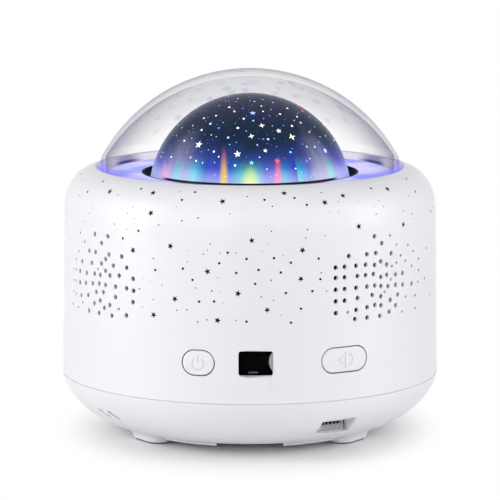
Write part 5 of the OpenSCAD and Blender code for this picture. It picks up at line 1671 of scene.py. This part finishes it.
@dataclass
class Socket:
    """The mouth of the charging socket: its rolled shell, its insulator and its spring contacts."""

    shop: Workshop
    azimuth: float = 29.2
    face: float = 57.0
    height: float = 12.7
    mouth: float = 5.6
    rim: Point = (12.9, 4.9)
    rim_drop: float = 0.95

    def bar(self, name: str, low: Sequence[float], high: Sequence[float], finish: Finish) -> Piece:
        """A bar with eased edges between two corners, in the socket's own frame."""
        width, height = high[0] - low[0], high[2] - low[2]
        across, level = (low[0] + high[0]) / 2, (low[2] + high[2]) / 2 + self.height
        loops = []
        for y, grow in ((high[1], 0.0), (low[1] + 0.1, 0.0), (low[1], -0.1)):
            ring = rounded(width + 2 * grow, height + 2 * grow, 0.12, 2)
            loops.append([(x + across, y - self.face, z + level) for x, z in ring])
        return self.shop.loft(name, loops, finish)

    def build(self) -> None:
        """The rolled shell, the insulator inside it and the contacts on the insulator."""
        turn, front = spin(self.azimuth), -self.mouth
        for name, count, pitch, half, tip, root, finish in (
            ("socket_contacts", 7, 1.7, 0.3, (front + 0.5, -0.35), (0.0, 0.2), PALE),
            ("socket_catches", 4, 2.3, 0.35, (front + 0.55, -1.3), (0.0, -0.9), GREY),
        ):
            middles = [(n - (count - 1) / 2) * pitch for n in range(count)]
            teeth = [self.bar(f"{name}_tooth", (x - half, *tip), (x + half, *root), finish) for x in middles]
            finished(placed(joined(name, teeth), turn), "housing")
        for name, low, high, finish in (
            ("socket_tongue", (-5.6, front + 0.8, -0.5), (5.6, 0.4, 0.75), BLACK),
            # A black bar at the pocket's right side: painted shade in the gap there.
            ("socket_gap", (6.4, front + 0.9, -0.9), (7.5, 0.2, 2.9), BLACK),
            ("socket_sill", (-5.6, front + 0.6, -2.6), (5.6, 0.2, -0.5), PALE),
        ):
            finished(placed(self.bar(name, low, high, finish), turn), "housing")
        loops = []
        steps = ((0.0, 0.3), (0.0, front + 0.3), (0.25, front), (0.75, front), (0.9, front + 0.25),
                 (0.9, 0.3))
        for size, y in steps:
            ring = rounded(self.rim[0] - 2 * size, self.rim[1] - 2 * size, 0.9 - size * 0.7, 6)
            loops.append([(x, y - self.face, z + self.height - self.rim_drop) for x, z in ring])
        rim = self.shop.loft("socket_rim", [*loops, loops[0]], BRIGHT, False)
        finished(placed(rim, turn), "housing")


# ---- the studio


@dataclass
class Studio:
    """Floor, lamps, world and camera."""

    pitch: float = 8.75
    distance: float = 1.25
    target: float = 0.072
    lens: float = 224.8
    # Lamps as (azimuth, strength): the strengths come from a fit to the picture's tones, then adjusted.
    strips: tuple[Point, ...] = (
        (-85, 4.0), (-72, 9.4), (-45, 0.8), (-20, 5.6), (20, 2.2), (42, 3.4), (72, 6.0), (85, 4.0))
    strip: Point = (0.22, 1.2)
    strip_radius: float = 1370.0
    strip_height: float = 363.0
    back_power: float = 8.0
    top: Point = (1.0, 0.9)
    top_radius: float = 200.0
    top_height: float = 1500.0
    top_power: float = 5.0
    soft: float = 0.08
    floor_half: float = 6.0
    contact: Point = (0.046, 0.058)

    def floor(self) -> None:
        """A plain pale floor that keeps the object's shadow."""
        half = self.floor_half
        corners = [(-half, -half, 0), (half, -half, 0), (half, half, 0), (-half, half, 0)]
        obj = shown("floor", mesh_of("floor", corners, [(0, 1, 2, 3)], 1.0))
        made = bpy.data.materials.new("floor_pale")
        made.use_nodes = True
        recipe = Recipe(made.node_tree)
        plain = recipe.node("ShaderNodeBsdfDiffuse", {"Color": (0.92, 0.92, 0.925, 1.0)})
        white = recipe.node("ShaderNodeEmission", {"Color": (1.0, 1.0, 1.0, 1.0), "Strength": 1.0})
        x, y, _ = recipe.axes()
        share = recipe.seen() * length(x / self.contact[0], y / self.contact[1]).ramp(1.0, 1.75)
        surface = recipe.node("ShaderNodeMixShader", {0: share, 1: plain, 2: white})
        recipe.node("ShaderNodeOutputMaterial", {"Surface": surface})
        obj.data.materials.append(made)

    def world(self) -> None:
        """Soft even light, and white where the camera or a reflection sees past the object."""
        world = bpy.data.worlds.new("studio")
        bpy.context.scene.world = world
        world.use_nodes = True
        recipe = Recipe(world.node_tree)
        soft = recipe.node("ShaderNodeBackground", {"Color": (1.0, 1.0, 1.0, 1.0), "Strength": self.soft})
        white = recipe.node("ShaderNodeBackground", {"Color": (1.0, 1.0, 1.0, 1.0), "Strength": 1.0})
        mixed = recipe.node("ShaderNodeMixShader", {0: recipe.seen(), 1: soft, 2: white})
        recipe.node("ShaderNodeOutputWorld", {"Surface": mixed})

    def lamp(self, name: str, place: Vector, size: Point, power: float) -> None:
        """A soft lamp aimed at the object's middle."""
        data = bpy.data.lights.new(name, "AREA")
        data.shape = "RECTANGLE"
        data.size, data.size_y = size
        data.energy = power
        obj = shown(name, data)
        obj.location = place
        obj.rotation_euler = (Vector((0, 0, self.target)) - place).to_track_quat("-Z", "Y").to_euler()

    def camera(self) -> None:
        """The camera in front, looking a little down."""
        data = bpy.data.cameras.new("camera")
        data.lens = self.lens
        data.sensor_width = 36.0
        data.clip_end = 20.0
        obj = shown("camera", data)
        down = radians(self.pitch)
        obj.location = (0, -self.distance * cos(down), self.target + self.distance * sin(down))
        obj.rotation_euler = (pi / 2 - down, 0, 0)
        bpy.context.scene.camera = obj

    def build(self) -> None:
        """Everything round the object."""
        self.floor()
        self.world()
        for azimuth, power in self.strips:
            place = polar(self.strip_radius, azimuth, self.strip_height)
            self.lamp(f"strip_{azimuth:.0f}", place, self.strip, power)
        self.lamp("top_soft", polar(self.top_radius, 0.0, self.top_height), self.top, self.top_power)
        behind = polar(self.strip_radius, 180.0, self.strip_height)
        self.lamp("back_strip", behind, self.strip, self.back_power)
        for name in ("top_soft", "back_strip"):
            bpy.data.objects[name].visible_glossy = False
        self.camera()
        bpy.context.scene.view_settings.view_transform = "Standard"


def dress_frame(frame: dict) -> None:
    """Gives every CAD node that still shows the finish of its slot."""
    slots = {p["node"]: p["material_slot"] for p in frame["record"]["subparts"]}
    own = {"bottom_cover": WHITE, "status_light": SMOKE, "usb_tongue": BLACK}
    for name, obj in sorted(frame["nodes"].items()):
        finish = own.get(name, SLOT_FINISH[slots[name]])
        obj.data.materials.clear()
        obj.data.materials.append(finish.material())
        log.info("%s: %s", name, finish.name)


def main() -> None:
    """Builds the looks in order."""
    logging.basicConfig(level=logging.INFO, format="%(name)s %(message)s", force=True)
    Studio().build()
    dress_frame(FRAME)
    shop = Workshop()
    drum = Drum(shop)
    drum.build()
    drum.marks()
    drum.liner()
    Base(shop).build()
    star = StarDome(shop)
    star.build()
    star.stars()
    ClearDome(shop).build()
    power = (arc((0.0, -0.3), 2.3, 125, 415, 24), ((0.0, 0.4), (0.0, 1.2), (0.0, 2.6)))
    sound = (((-2.9, 0.0), (-1.2, 1.5)), ((-2.9, 0.0), (-1.2, -1.5)), ((0.0, 3.0), (0.0, 0.0), (0.0, -3.0)),
             arc((0.6, 0.0), 2.6, 62, -62, 16))
    for name, place, strokes in (("power_button", POWER, power), ("sound_button", SOUND, sound)):
        button = Button(shop, name, place, strokes)
        button.build()
        button.sign()
    SlideKnob(shop).build()
    Socket(shop).build()


if __name__ == "__main__":
    main()
